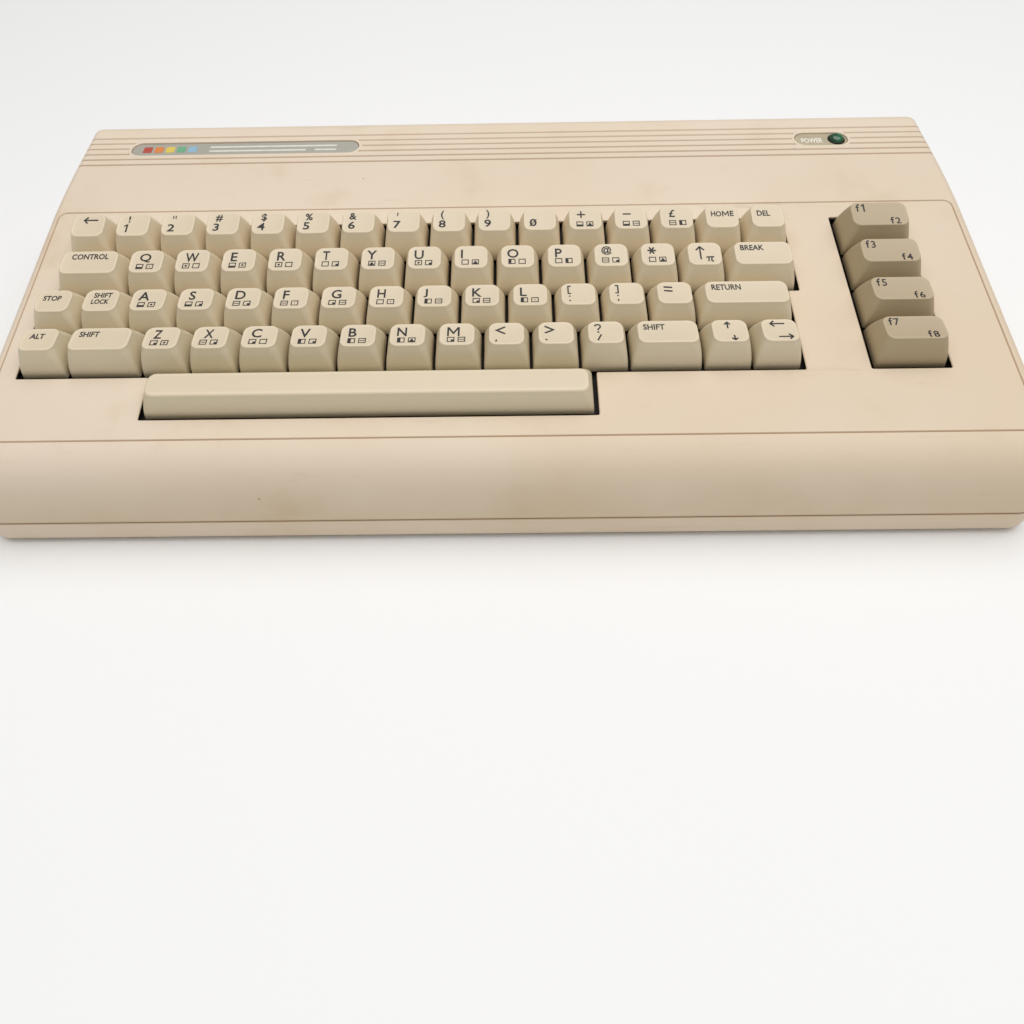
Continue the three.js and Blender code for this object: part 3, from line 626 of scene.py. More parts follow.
# windows for the sockets
ROUND = 2.2
REAR_SOCKETS = {"cart": (112, 34, 17.4, 37), "rf": (42, 7.5, 20, 35), "av": (-2, 10.5, 16.5, 36.5), "serial": (-34, 10.5, 16.5, 36.5),
                "tape": (-78, 17, 8.6, 25), "user": (-142, 36, 8.6, 25)}
SIDE_SOCKETS = {"joy1": (-62, 12.5, 17, 31), "joy2": (-26, 12.5, 17, 31), "switch": (16, 11, 20, 33), "power": (52, 10.5, 16.5, 36.5)}
TO_REAR = Matrix(((1, 0, 0, 0), (0, 0, -1, 0), (0, 1, 0, 0), (0, 0, 0, 1)))     # (x, z) outline run along -Y
TO_SIDE = Matrix(((0, 0, 1, 0), (1, 0, 0, 0), (0, 1, 0, 0), (0, 0, 0, 1)))      # (y, z) outline run along +X
for x, w, z0, z1 in REAR_SOCKETS.values():
    cut(top, [(prism(round_rect(x - w, x + w, z0, z1, ROUND, 4), -120, -92), TO_REAR)])
for y, w, z0, z1 in SIDE_SOCKETS.values():
    cut(top, [(prism(round_rect(y - w, y + w, z0, z1, 1.4, 4), 190, 210), TO_SIDE)])

# lower shell: plan outlines stacked from the bottom face up to the seam, then back down inside
# height, front edge, rear edge, how far the sides draw in
LEVELS = [(3.0, -106.1, 102.6, 3.6), (3.1, -106.62, 103.4, 2.7), (3.4, -106.98, 104.3, 1.9), (3.95, -107.2, 105.4, 1.2), (4.7, -107.3, 106.4, 0.65),
          (5.7, -107.38, 107.2, 0.28), (6.9, -107.44, 107.7, 0.08), (8.4, -107.5, 107.95, 0.0), (SEAM - 0.2, -107.62, 107.9, 0.0)]
rings = []
for z, ya, yb, e in LEVELS:
    rings.append([(x, y, z) for x, y in round_rect(-HALF_W + e, HALF_W - e, ya, yb, 9.0 - 0.8 * e, 9)])
for z, e in ((SEAM - 0.2, WALL), (7.2, WALL), (5.9, WALL + 0.5), (3.0 + WALL, WALL + 2.0)):
    rings.append([(x, y, z) for x, y in round_rect(-HALF_W + e, HALF_W - e, -107.6 + e, 107.9 - e, 9.0 - WALL, 9)])
v, f = rings_mesh(rings)
bottom = obj_from("bottom_shell", v, f, M_CASE, None)
for k in ("tape", "user"):
    x, w, z0, z1 = REAR_SOCKETS[k]
    cut(bottom, [(prism(round_rect(x - w, x + w, z0, z1, ROUND, 4), -120, -92), TO_REAR)])
SCREWS = [(-150, -96), (0, -96), (150, -96)]
for x, y in SCREWS:
    cut(bottom, [(moved(lathe([(0, 4.0), (5.9, 4.0), (5.9, 13.2), (0, 13.2)], 32), x, y), None)], "UNION")
    cut(bottom, [(moved(lathe([(0, -1), (4.7, -1), (4.7, 3.0), (4.2, 3.5), (4.2, 8), (0, 8)], 32), x, y), None)])
slots = []
for sx in (-1, 1):
    for i in range(6):
        y = 30 + i * 9
        slots.append((prism(round_rect(sx * 100 - 40, sx * 100 + 40, y - 1.6, y + 1.6, 1.59, 6), 0, 7), None))
cut(bottom, [(join_parts([s[0] for s in slots]), None)])



def settle(o):
    """Mark the points that get dust and painted shade: the grooves' floors and the panel line's floor."""
    me = o.data
    co = np.empty(len(me.vertices) * 3, np.float32)
    me.vertices.foreach_get("co", co)
    co = co.reshape(-1, 3) / MM
    dust_and_shade = np.zeros(len(co), np.float32)
    band = np.array(BAND.inverted())
    q = co @ band[:3, :3].T + band[:3, 3]
    for y in GROOVES:
        near = (np.abs(co[:, 1] - y) < 0.5) & (q[:, 2] < -0.25) & (q[:, 2] > -1.2)
        dust_and_shade[near] = np.clip(-q[near, 2] / 0.65, 0, 1)
    board = np.array(KB.inverted())
    q = co @ board[:3, :3].T + board[:3, 3]
    edge = np.minimum(np.minimum(np.abs(q[:, 0] - LX0), np.abs(q[:, 0] - LX1)), np.minimum(np.abs(q[:, 1] - LY0), np.abs(q[:, 1] - LY1)))
    corner = (np.minimum(q[:, 0] - LX0, LX1 - q[:, 0]) < LINE_R) & (np.minimum(q[:, 1] - LY0, LY1 - q[:, 1]) < LINE_R)
    line_ = ((edge < 1.2) | corner) & (q[:, 2] < -0.25) & (q[:, 2] > -0.8)
    dust_and_shade[line_ & (q[:, 0] > LX0 - 1) & (q[:, 0] < LX1 + 1) & (q[:, 1] > LY0 - 1) & (q[:, 1] < LY1 + 1)] = 1.0
    at = me.attributes.new("dust_and_shade", "FLOAT", "POINT")
    at.data.foreach_set("value", dust_and_shade)


for o, node in ((top, "top_case"), (bottom, "bottom_case")):
    bm = bmesh.new()
    bm.from_mesh(o.data)
    bmesh.ops.remove_doubles(bm, verts=bm.verts, dist=2e-6)
    bmesh.ops.recalc_face_normals(bm, faces=bm.faces)
    bm.to_mesh(o.data)
    bm.free()
    o.data.materials.clear()
    o.data.materials.append(M_CASE)
    settle(o)
    shade(o, 32)
    weighted(o)
    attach(o, "case")
    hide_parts(node)


# ------------------------------------------------------------------ keycaps
TOPS = {3: (12.9, 13.9), 2: (11.8, 12.2), 1: (11.4, 10.4), 0: (12.2, 10.4)}
F_TOPS = {3: (13.0, 14.3), 2: (12.4, 13.0), 1: (12.1, 11.8), 0: (12.6, 11.3)}
CAP_GAP, SKIRT = 0.55, -2.4


class Cap:
    """A moulded keycap: tapering skirts, a rounded rim and a lightly dished finger face."""

    def __init__(self, x0, x1, y0, y1, tops, ix=2.3, front=3.45, rear=3.2, dish=0.42, r_top=2.4, fillet=0.55, stems=None, clean=0.0):
        self.x0, self.x1, self.y0, self.y1 = x0, x1, y0, y1
        self.tops, self.dish = tops, dish
        self.rect = (x0 + ix, x1 - ix, y0 + front, y1 - rear)
        self.r_top, self.fillet, self.clean = r_top, fillet, clean
        self.stems = stems if stems is not None else [((x0 + x1) / 2, (y0 + y1) / 2)]
        self.cx, self.cy = (self.rect[0] + self.rect[1]) / 2, (self.rect[2] + self.rect[3]) / 2
        self.ax, self.ay = (self.rect[1] - self.rect[0]) / 2, (self.rect[3] - self.rect[2]) / 2

    def plane(self, x, y):
        f = (y - self.rect[2]) / (self.rect[3] - self.rect[2])
        return self.tops[0] + (self.tops[1] - self.tops[0]) * f

    def surface(self, x, y):
        u = min(1.0, abs(x - self.cx) / self.ax)
        v = min(1.0, abs(y - self.cy) / self.ay)
        # a wide key is dished like a trough with closed ends
        edge = min(1.0, (1 - u) * self.ax / self.ay) if self.ax > self.ay else 1 - u
        fu = 1 - (1 - edge) ** 2
        return self.plane(x, y) - 0.05 - self.dish * fu * (1 - v * v)

    def build(self):
        x0, x1, y0, y1 = self.x0, self.x1, self.y0, self.y1
        ra = self.rect
        r_face = self.r_top + 0.8
        n = 6
        verts, rows, side, painted_light, low = [], [], [], [], []

        def ring(xa, xb, ya, yb, r, zf, s, w, l):
            row = []
            for x, y in round_rect(xa, xb, ya, yb, r, n):
                row.append(len(verts))
                verts.append((x, y, zf(x, y)))
                side.append(s)
                painted_light.append(w)
                low.append(l)
            rows.append(row)

        fl = self.fillet
        # skirts, with painted light on keys behind another row
        top_rect = (ra[0] - 0.16, ra[1] + 0.16, ra[2] - 0.16, ra[3] + 0.16)
        base = (x0, x1, y0, y1)
        for t in (0.0, 0.03, 0.09, 0.17, 0.26, 0.36, 0.47, 0.58, 0.69, 0.8, 0.9, 1.0):
            g = t ** 1.75
            rect = [base[i] + (top_rect[i] - base[i]) * g for i in range(4)]
            r = 0.9 + (r_face - 0.9) * t
            tt = t
            # the last value puts painted shade at the foot of the skirts
            ring(*rect, r, lambda x, y, tt=tt: SKIRT + ((self.plane(x, y) - fl) - SKIRT) * tt, 1.0, self.clean, max(0.0, 1 - t / 0.36))
        # rounded rim, which carries a painted highlight
        for k in range(1, 6):
            a = math.pi / 2 * k / 5
            e, d = fl * (1 - math.cos(a)), fl * (1 - math.sin(a))
            rect = (top_rect[0] + e, top_rect[1] - e, top_rect[2] + e, top_rect[3] - e)
            ring(*rect, r_face - e * 0.45, lambda x, y, d=d: self.plane(x, y) - d, 1 - k / 5, min(1.0, k / 3), 0.0)
        # finger face, its outermost ring with some painted highlight
        e = fl
        xa, xb, ya, yb = top_rect[0] + e, top_rect[1] - e, top_rect[2] + e, top_rect[3] - e
        r_in = r_face - e * 0.45
        lim = min((xb - xa), (yb - ya)) / 2
        for m in (0.25, 0.6, 1.2, 2.0, 3.0, 4.2):
            if m > lim - 0.25:
                break
            ring(xa + m, xb - m, ya + m, yb - m, max(0.25, r_in - m * 0.9), lambda x, y: self.surface(x, y), 0.0, max(0.0, 1 - (m / 0.65) ** 2), 0.0)
        faces = []
        k = len(rows[0])
        for a, b in zip(rows, rows[1:]):
            for j in range(k):
                faces.append((a[j], a[(j + 1) % k], b[(j + 1) % k], b[j]))
        faces.append(tuple(rows[-1]))
        # inside of the cap, in painted shade
        inner = []
        for zf, m in ((lambda x, y: SKIRT, 1.3), (lambda x, y: self.plane(x, y) - 2.4, None)):
            row = []
            rect = (x0 + 1.3, x1 - 1.3, y0 + 1.3, y1 - 1.3) if m else (ra[0] + 0.6, ra[1] - 0.6, ra[2] + 0.5, ra[3] - 0.5)
            for x, y in round_rect(*rect, 0.6 if m else 1.2, n):
                row.append(len(verts))
                verts.append((x, y, zf(x, y)))
                side.append(1.0)
                painted_light.append(0.0)
                low.append(1.0)
            inner.append(row)
        for a, b in ((rows[0], inner[0]), (inner[0], inner[1])):
            for j in range(k):
                faces.append((a[(j + 1) % k], a[j], b[j], b[(j + 1) % k]))
        faces.append(tuple(reversed(inner[-1])))
        for cx, cy in self.stems:
            sv, sf = prism([(cx - 2.5, cy - 2.5), (cx + 2.5, cy - 2.5), (cx + 2.5, cy + 2.5), (cx - 2.5, cy + 2.5)], -11, min(self.tops) - 2.5)
            o = len(verts)
            verts += sv
            side += [1.0] * len(sv)
            painted_light += [0.0] * len(sv)
            low += [1.0] * len(sv)
            faces += [tuple(i + o for i in q) for q in sf]
        return verts, faces, side, painted_light, low


CAPS = {}        # node -> list of (Cap, legends)


def cap_at(u0, u1, v, tops, **kw):
    return Cap(u0 * P + CAP_GAP, u1 * P - CAP_GAP, v * P + CAP_GAP, (v + 1) * P - CAP_GAP, tops, **kw)


def keys(node, u, widths, v, legends, tops=None):
    out = []
    for w, leg in zip(widths, legends):
        # painted light lifts the skirts behind another row, which the row in front shades
        out.append((cap_at(u, u + w, v, tops or TOPS[v], clean=0.0 if tops else (0.08, 0.93, 0.95, 1.3)[v]), leg))
        u += w
    CAPS[node] = out


# A legend is a list of (kind, what, size, x, y) from the centre of the finger face, in millimetres.
rnd = random.Random(11)
NUM = lambda ch: [("t", ch, 3.9, -2.8, -1.7)]


def sym(upper, lower, x=-2.0):
    return [("c", upper, 3.3, x, 2.9)] + NUM(lower)


MOTIFS = ["open", "left", "dot", "bar", "corner", "ring", "tri", "low"]


def boxes(y=-2.85, dx=0.0):
    a, b = rnd.sample(MOTIFS, 2)
    return [("m", a, 2.9, dx - 2.35, y), ("m", b, 2.9, dx + 1.8, y)]


# letters printed a little off the usual line, and those that are narrower than in the typeface
NUDGE = {"Q": 0.7, "W": 0.5, "E": 0.3, "R": 0.3, "Y": -0.9, "U": -0.4, "I": -0.4, "O": -0.5, "A": -0.4, "S": 0.8, "D": 0.3, "F": 0.4, "G": 0.7,
         "J": -0.6, "K": -0.3, "L": -0.3, "Z": 0.5, "X": 1.1, "C": 0.4, "V": 0.1, "N": -0.3}
NARROW = {"W": 0.82, "Z": 0.74, "X": 0.76, "T": 0.78, "H": 0.88, "N": 0.92}


def letter(ch, y=1.4, low=-2.85):
    return [("l", ch, 4.4, -3.75 + NUDGE.get(ch, 0.0), y)] + boxes(low)


def mark(ch, x, y, size=1.0):
    return [("s", ch, size, x, y)]


def word(text, size, wide, x, y):
    """A word set to a width; x is its left edge."""
    return [("w", (text, wide), size, x, y)]


ARROW = lambda kind, x=0.0, y=0.0, s=1.0: [("a", kind, s, x, y)]

keys("key_left_arrow", 0, [1], 3, [ARROW("left", 0.7, 2.8, 1.08)])
keys("keys_1_2_3", 1, [1] * 3, 3, [[("c", "!", 3.1, -2.0, 3.0)] + mark("1", -2.8, -1.7, 1.18), mark("quote", -2.0, 3.7) + NUM("2"), sym("#", "3")])
keys("keys_4_5_6", 4, [1] * 3, 3, [sym("$", "4"), sym("%", "5"), sym("&", "6", -2.5)])
keys("keys_7_8_9", 7, [1] * 3, 3, [mark("tick", -2.7, 3.6) + NUM("7"), sym("(", "8", -2.8), sym(")", "9", -2.8)])
keys("keys_0_plus", 10, [1] * 2, 3, [NUM("0") + mark("slash", -2.8, -1.7, 0.95), mark("plus", -1.7, 2.1) + boxes()])
keys("keys_minus_pound", 12, [1] * 2, 3, [mark("minus", -1.5, 2.1) + boxes(dx=0.3), [("c", "£", 3.6, -1.7, 2.0)] + boxes(dx=0.6)])
keys("key_home", 14, [1], 3, [word("HO", 2.7, 4.3, -4.4, 1.5) + mark("M", 1.65, 1.5, 0.6) + word("E", 2.7, 1.5, 3.5, 1.5)])
keys("key_delete", 15, [1], 3, [word("DEL", 2.7, 5.5, -4.3, 1.5)])
keys("key_control", 0, [1.5], 2, [word("CONTROL", 2.6, 15.2, -7.6, 2.9)])
keys("keys_q_w_e", 1.5, [1] * 3, 2, [letter(c, 1.8, -2.5) for c in "QWE"])
keys("keys_r_t_y", 4.5, [1] * 3, 2, [letter(c, 1.8, -2.5) for c in "RTY"])
keys("keys_u_i_o", 7.5, [1] * 3, 2, [letter(c, 1.6, -2.55) for c in "UIO"])
keys("keys_p_at_star_up", 10.5, [1] * 4, 2, [
    letter("P", 1.5, -2.5), [("c", "@", 3.1, -1.7, 2.4)] + boxes(-2.5), mark("star", -2.3, 2.1) + boxes(-2.5), ARROW("up", -1.7, 0.4, 1.2) + mark("pi", 2.0, -2.7)])
keys("key_restore", 14.5, [1.5], 2, [word("BREAK", 2.6, 9.6, -9.0, 2.9)])
keys("key_run_stop", -0.25, [1], 1, [word("STOP", 2.6, 7.2, -4.5, 1.6)])
keys("key_shift_lock", 0.75, [1], 1, [word("SHIFT", 2.5, 7.3, -3.4, 2.8) + word("LOCK", 2.5, 7.0, -3.7, -0.5)])
keys("keys_a_s_d", 1.75, [1] * 3, 1, [letter(c, 2.0, -2.5) for c in "ASD"])
keys("keys_f_g_h", 4.75, [1] * 3, 1, [letter(c, 1.75, -2.7) for c in "FGH"])
keys("keys_j_k_l", 7.75, [1] * 3, 1, [letter(c, 1.6, -2.7) for c in "JKL"])
keys("keys_colon_semicolon_equal", 10.75, [1] * 3, 1, [
    mark("[", -3.5, 2.3) + mark(":", -3.4, -2.2), mark("]", -3.6, 2.3) + mark(";", -3.4, -2.2), mark("equal", -2.3, 2.1)])
keys("key_return", 13.75, [2], 1, [word("RETURN", 2.8, 11.6, -13.6, 2.7)])
keys("key_mode", -0.25, [1], 0, [word("ALT", 2.6, 5.6, -4.0, 1.8)])
keys("key_shift_left", 0.75, [1.5], 0, [word("SHIFT", 2.7, 7.7, -8.7, 2.5)])
keys("keys_z_x_c", 2.25, [1] * 3, 0, [letter(c, 1.95, -2.45) for c in "ZXC"])
keys("keys_v_b_n", 5.25, [1] * 3, 0, [letter(c, 1.65, -2.7) for c in "VBN"])
keys("keys_m_comma_dot_slash", 8.25, [1] * 4, 0, [
    mark("M", -1.4, 1.4, 1.05) + boxes(-2.7), mark("<", -2.2, 1.8) + mark(",", -3.9, -3.5), mark(">", -2.6, 1.8) + mark(".", -3.8, -3.5),
    mark("?", -2.9, 2.0) + mark("/", -2.5, -2.6)])
keys("key_shift_right", 12.25, [1.5], 0, [word("SHIFT", 2.8, 8.3, -9.2, 2.5)])
keys("key_cursor_up_down", 13.75, [1], 0, [ARROW("up", -0.6, 2.9, 0.56) + ARROW("down", 1.2, -3.6, 0.5)])
keys("key_cursor_left_right", 14.75, [1], 0, [ARROW("left", -0.4, 3.4, 1.0) + ARROW("right", 1.6, -3.4, 1.0)])
for i, (row, node) in enumerate(((3, "key_f1"), (2, "key_f3"), (1, "key_f5"), (0, "key_f7"))):
    lo, hi = str(2 * i + 1), str(2 * i + 2)
    keys(node, FU0, [1.5], row, [[("f", "f", 3.7, -8.5, 3.2)] + (mark("1", -6.2, 3.0) if lo == "1" else [("f", lo, 3.3, -6.2, 3.0)])
                               + [("f", "f", 3.7, 4.7, -3.3), ("f", hi, 3.3, 7.0, -3.5)]], tops=F_TOPS[row])
sx0, sx1 = 2.5 * P + CAP_GAP, 11.5 * P - CAP_GAP
CAPS["space_bar"] = [(Cap(sx0, sx1, -P + CAP_GAP, -CAP_GAP, (9.9, 9.5), ix=2.2, front=2.8, rear=4.9, dish=-0.25, r_top=2.4, fillet=1.1,
                          stems=[(7 * P + d, -0.5 * P + 0.6) for d in (-66, 0, 66)]), [])]


def poly_solid(outline, z=0.05):
    return prism(outline, -z, z)


def motif(kind, s):
    h, w = s * 0.46, s * 0.5
    lw = 0.36
    frame_ = [poly_solid(q) for q in (
        [(-w, -h), (w, -h), (w, -h + lw), (-w, -h + lw)], [(-w, h - lw), (w, h - lw), (w, h), (-w, h)],
        [(-w, -h + lw), (-w + lw, -h + lw), (-w + lw, h - lw), (-w, h - lw)], [(w - lw, -h + lw), (w, -h + lw), (w, h - lw), (w - lw, h - lw)])]
    extra = {
        "open": [],
        "left": [[(-w + lw, -h + lw), (-0.2, -h + lw), (-0.2, h - lw), (-w + lw, h - lw)]],
        "dot": [[(0.5 * math.cos(a), 0.5 * math.sin(a)) for a in [i * math.pi / 5 for i in range(10)]]],
        "bar": [[(-w + 0.5, -0.14), (w - 0.5, -0.18), (w - 0.5, 0.18), (-w + 0.5, 0.18)]],
        "corner": [[(0.1, -h + lw), (w - lw, -h + lw), (w - lw, 0.0), (0.1, 0.0)]],
        "ring": [[(0.25 * math.cos(a), 0.25 * math.sin(a)) for a in [i * math.pi / 4 for i in range(8)]]],
        "tri": [[(-w + lw, -h + lw), (w - lw, -h + lw), (0, h - lw - 0.15)]],
        "low": [[(-w + lw, -h + lw), (w - lw, -h + lw), (w - lw, -0.25), (-w + lw, -0.25)]],
    }[kind]
    return join_parts(frame_ + [poly_solid(q) for q in extra])


def stroke(pts, w=0.5):
    """A flat line of width w through the points, with mitred corners."""
    left, right, n = [], [], len(pts)
    for i, (x, y) in enumerate(pts):
        a, b = pts[max(i - 1, 0)], pts[min(i + 1, n - 1)]
        u = Vector((x - a[0], y - a[1])) if i else Vector((b[0] - x, b[1] - y))
        v = Vector((b[0] - x, b[1] - y)) if i < n - 1 else u
        u, v = u.normalized(), v.normalized()
        m = Vector((-(u.y + v.y), u.x + v.x))
        m = m.normalized()
        k = min(w, w / 2 / max(0.3, m.dot(Vector((-u.y, u.x)))))
        left.append((x + m.x * k, y + m.y * k))
        right.append((x - m.x * k, y - m.y * k))
    verts, faces = [], []
    for i in range(n):
        verts += [(*left[i], -0.05), (*right[i], -0.05), (*right[i], 0.05), (*left[i], 0.05)]
    for i in range(n - 1):
        a, b = 4 * i, 4 * i + 4
        faces += [(a + j, a + (j + 1) % 4, b + (j + 1) % 4, b + j) for j in range(4)]
    faces += [(3, 2, 1, 0), (4 * n - 4, 4 * n - 3, 4 * n - 2, 4 * n - 1)]
    return verts, faces


def dot(x, y, r=0.36, n=10):
    return poly_solid([(x + r * math.cos(2 * math.pi * i / n), y + r * math.sin(2 * math.pi * i / n)) for i in range(n)])


def drawn(kind, s):
    """Marks drawn with plain strokes, centred, in millimetres."""
    hook = [(-1.05 * s, 1.2 * s), (-0.95 * s, 1.65 * s), (-0.55 * s, 1.95 * s), (0.0, 2.05 * s), (0.6 * s, 1.92 * s), (1.0 * s, 1.5 * s), (1.05 * s, 1.0 * s),
            (0.8 * s, 0.5 * s), (0.35 * s, 0.1 * s), (0.12 * s, -0.3 * s), (0.1 * s, -0.8 * s)]
    parts = {
        "quote": lambda: [stroke([(x, 0.75), (x, -0.75)], 0.42) for x in (-0.5, 0.5)],
        "tick": lambda: [stroke([(0.1, 0.75), (-0.1, -0.75)], 0.45)],
        "slash": lambda: [stroke([(-1.5 * s, -2.0 * s), (1.5 * s, 2.0 * s)], 0.32)],
        "plus": lambda: [stroke([(-1.7 * s, 0), (1.7 * s, 0)], 0.6), stroke([(0, -1.65 * s), (0, 1.65 * s)], 0.6)],
        "minus": lambda: [stroke([(-1.7 * s, 0), (1.7 * s, 0)], 0.6)],
        "star": lambda: [stroke([(-1.8 * math.cos(a), -1.8 * math.sin(a)), (1.8 * math.cos(a), 1.8 * math.sin(a))], 0.66) for a in (0.0, math.pi / 3, 2 * math.pi / 3)],
        "equal": lambda: [stroke([(-1.7, y + 0.12), (1.7, y - 0.12)], 0.7) for y in (-0.95, 0.95)],
        "1": lambda: [stroke([(-0.75 * s, 0.95 * s), (0.25 * s, 1.6 * s), (0.25 * s, -1.7 * s)], 0.62)],
        "[": lambda: [stroke([(0.7, 1.9), (-0.45, 1.9), (-0.45, -1.9), (0.7, -1.9)], 0.54)],
        "]": lambda: [stroke([(-0.7, 1.9), (0.45, 1.9), (0.45, -1.9), (-0.7, -1.9)], 0.54)],
        ":": lambda: [dot(0, 1.2), dot(0, -1.2)],
        ";": lambda: [dot(0, 1.2), dot(0.1, -1.1), stroke([(0.2, -1.2), (-0.25, -1.95)], 0.32)],
        "<": lambda: [stroke([(1.7, 1.75), (-1.6, 0.0), (1.7, -1.75)], 0.7)],
        ">": lambda: [stroke([(-1.7, 1.75), (1.6, 0.0), (-1.7, -1.75)], 0.7)],
        ",": lambda: [dot(0, 0), stroke([(0.15, -0.1), (-0.3, -0.85)], 0.34)],
        ".": lambda: [dot(0, 0, 0.4)],
        "/": lambda: [stroke([(0.75, 1.6), (-0.75, -1.6)], 0.58)],
        "?": lambda: [stroke(hook, 0.58), dot(0.1 * s, -1.75 * s, 0.42)],
        "M": lambda: [stroke([(x * s, y * s) for x, y in q], 0.12 + 0.54 * s) for q in (
            [(-1.95, -2.2), (-1.95, 2.2)], [(1.95, -2.2), (1.95, 2.2)], [(-1.85, 2.1), (0.0, -0.7), (1.85, 2.1)])],
        "pi": lambda: [stroke([(-1.5, 0.7), (-1.1, 1.15), (1.7, 1.15)], 0.54), stroke([(-0.35, 1.1), (-0.8, -1.2)], 0.54), stroke([(0.75, 1.1), (0.45, -0.8), (0.75, -1.2), (1.3, -1.0)], 0.54)],
    }[kind]()
    return join_parts(parts)


def arrow(kind, s):
    L, hd = 2.7 * s, max(1.1, 1.4 * s)
    v, f = join_parts([stroke([(-L, 0), (L - 0.2, 0)], 0.6), stroke([(L - hd, hd), (L, 0), (L - hd, -hd)], 0.62)])
    a = {"right": 0, "up": 90, "left": 180, "down": 270}[kind]
    c, sn = round(math.cos(math.radians(a))), round(math.sin(math.radians(a)))
    return [(x * c - y * sn, x * sn + y * c, z) for x, y, z in v], f


def glyphs(wanted):
    """Meshes of short texts, in millimetres. {(text, height, weight): (verts, faces)}, from the left edge and the baseline at (0, 0)."""
    objs = {}
    for text, size, weight in wanted:
        cu = bpy.data.curves.new("glyph", "FONT")
        cu.body = text
        cu.size = size * 1.38
        cu.resolution_u = 3
        cu.extrude = 0.05
        cu.offset = weight
        cu.align_x = "LEFT"
        o = bpy.data.objects.new("glyph", cu)
        SCENE.collection.objects.link(o)
        objs[(text, size, weight)] = o
    bpy.context.view_layer.update()
    dg = bpy.context.evaluated_depsgraph_get()
    out = {}
    for key, o in objs.items():
        me = bpy.data.meshes.new_from_object(o.evaluated_get(dg))
        bm = bmesh.new()
        bm.from_mesh(me)
        bmesh.ops.remove_doubles(bm, verts=bm.verts, dist=1e-4)
        v = [tuple(q.co) for q in bm.verts]
        f = [tuple(q.index for q in fc.verts) for fc in bm.faces]
        bm.free()
        x0, y0, y1 = min(q[0] for q in v), min(q[1] for q in v), max(q[1] for q in v)
        # capital letters and digits fill the height from the baseline exactly
        k = key[1] / (y1 - y0) if key[0].isupper() or key[0].isdigit() else 1.0
        base = y0 if k != 1.0 else 0.0
        out[key] = ([(q[0] - x0, (q[1] - base) * k, q[2]) for q in v], f)
        cu = o.data
        bpy.data.objects.remove(o)
        bpy.data.curves.remove(cu)
        bpy.data.meshes.remove(me)
    return out


def typeset(kind, what, size):
    """A legend's mesh about its own reference point."""
    if kind == "m":
        return motif(what, size)
    if kind == "a":
        return arrow(what, size)
    if kind == "s":
        return drawn(what, size)
    gv, gf = GLYPHS[glyph_key(kind, what, size)]
    x1 = max(q[0] for q in gv)
    y0, y1 = min(q[1] for q in gv), max(q[1] for q in gv)
    if kind == "c":         # centred both ways
        return [(x - x1 / 2, y - (y0 + y1) / 2, z) for x, y, z in gv], gf
    if kind == "w":         # set to a width, from its left edge
        return [(x * what[1] / x1, y - size / 2, z) for x, y, z in gv], gf
    if kind == "t":         # figures are set a little wide
        return [((x - x1 / 2) * 1.15, y - size / 2, z) for x, y, z in gv], gf
    if kind == "l":
        return [(x * NARROW.get(what, 1.0), y - size / 2, z) for x, y, z in gv], gf
    return [(x - x1 / 2, y - size / 2, z) for x, y, z in gv], gf


def glyph_key(kind, what, size):
    return (what[0] if kind == "w" else what, size, {"f": 0.055, "w": 0.08}.get(kind, 0.095))


GLYPHS = glyphs(sorted({glyph_key(*g[:3]) for caps in CAPS.values() for _, leg in caps for g in leg if g[0] in "tlcwf"}))

for node, caps in CAPS.items():
    V, Fc, S, W_, L_ = [], [], [], [], []
    LV, LF = [], []
    for cap, legends in caps:
        v, f, s, w, l = cap.build()
        k = len(V)
        V += v
        Fc += [tuple(i + k for i in q) for q in f]
        S += s
        W_ += w
        L_ += l
        for kind, what, size, gx, gy in legends:
            gv, gf = typeset(kind, what, size)
            k = len(LV)
            for x, y, z in gv:
                X, Y = cap.cx + gx + x, cap.cy + gy + y
                LV.append((X, Y, cap.surface(X, Y) + 0.045 + z))
            LF += [tuple(i + k for i in q) for q in gf]
    fkey = node in ("key_f1", "key_f3", "key_f5", "key_f7")
    o = obj_from("caps_" + node, V, Fc, M_FKEY if fkey else M_KEY, node, KB, 42, "function_keys" if fkey else "keycaps",
                 attrs={"side": S, "painted_light": W_, "low": L_})
    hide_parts(node)
    if LV:
        obj_from("legend_" + node, LV, LF, M_INK, node, KB, 30)


# ------------------------------------------------------------------ plates and lamp
def plate_part(cx, hx, hy):
    s = stadium(cx, hx, hy, 16)
    return rings_mesh([[(x, y, z) for x, y in offset(s, o)] for z, o in ((-1.3, -0.15), (-0.70, 0.0), (-0.58, -0.03), (-0.51, -0.12), (-0.48, -0.30))])


badge = obj_from("badge_face", *plate_part(BADGE_X, BADGE_HALF - 0.25, PLATE_HH - 0.25), M_PLATE, "case", BAND, 30, "name_plate")
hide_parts("name_plate")
weighted(badge)


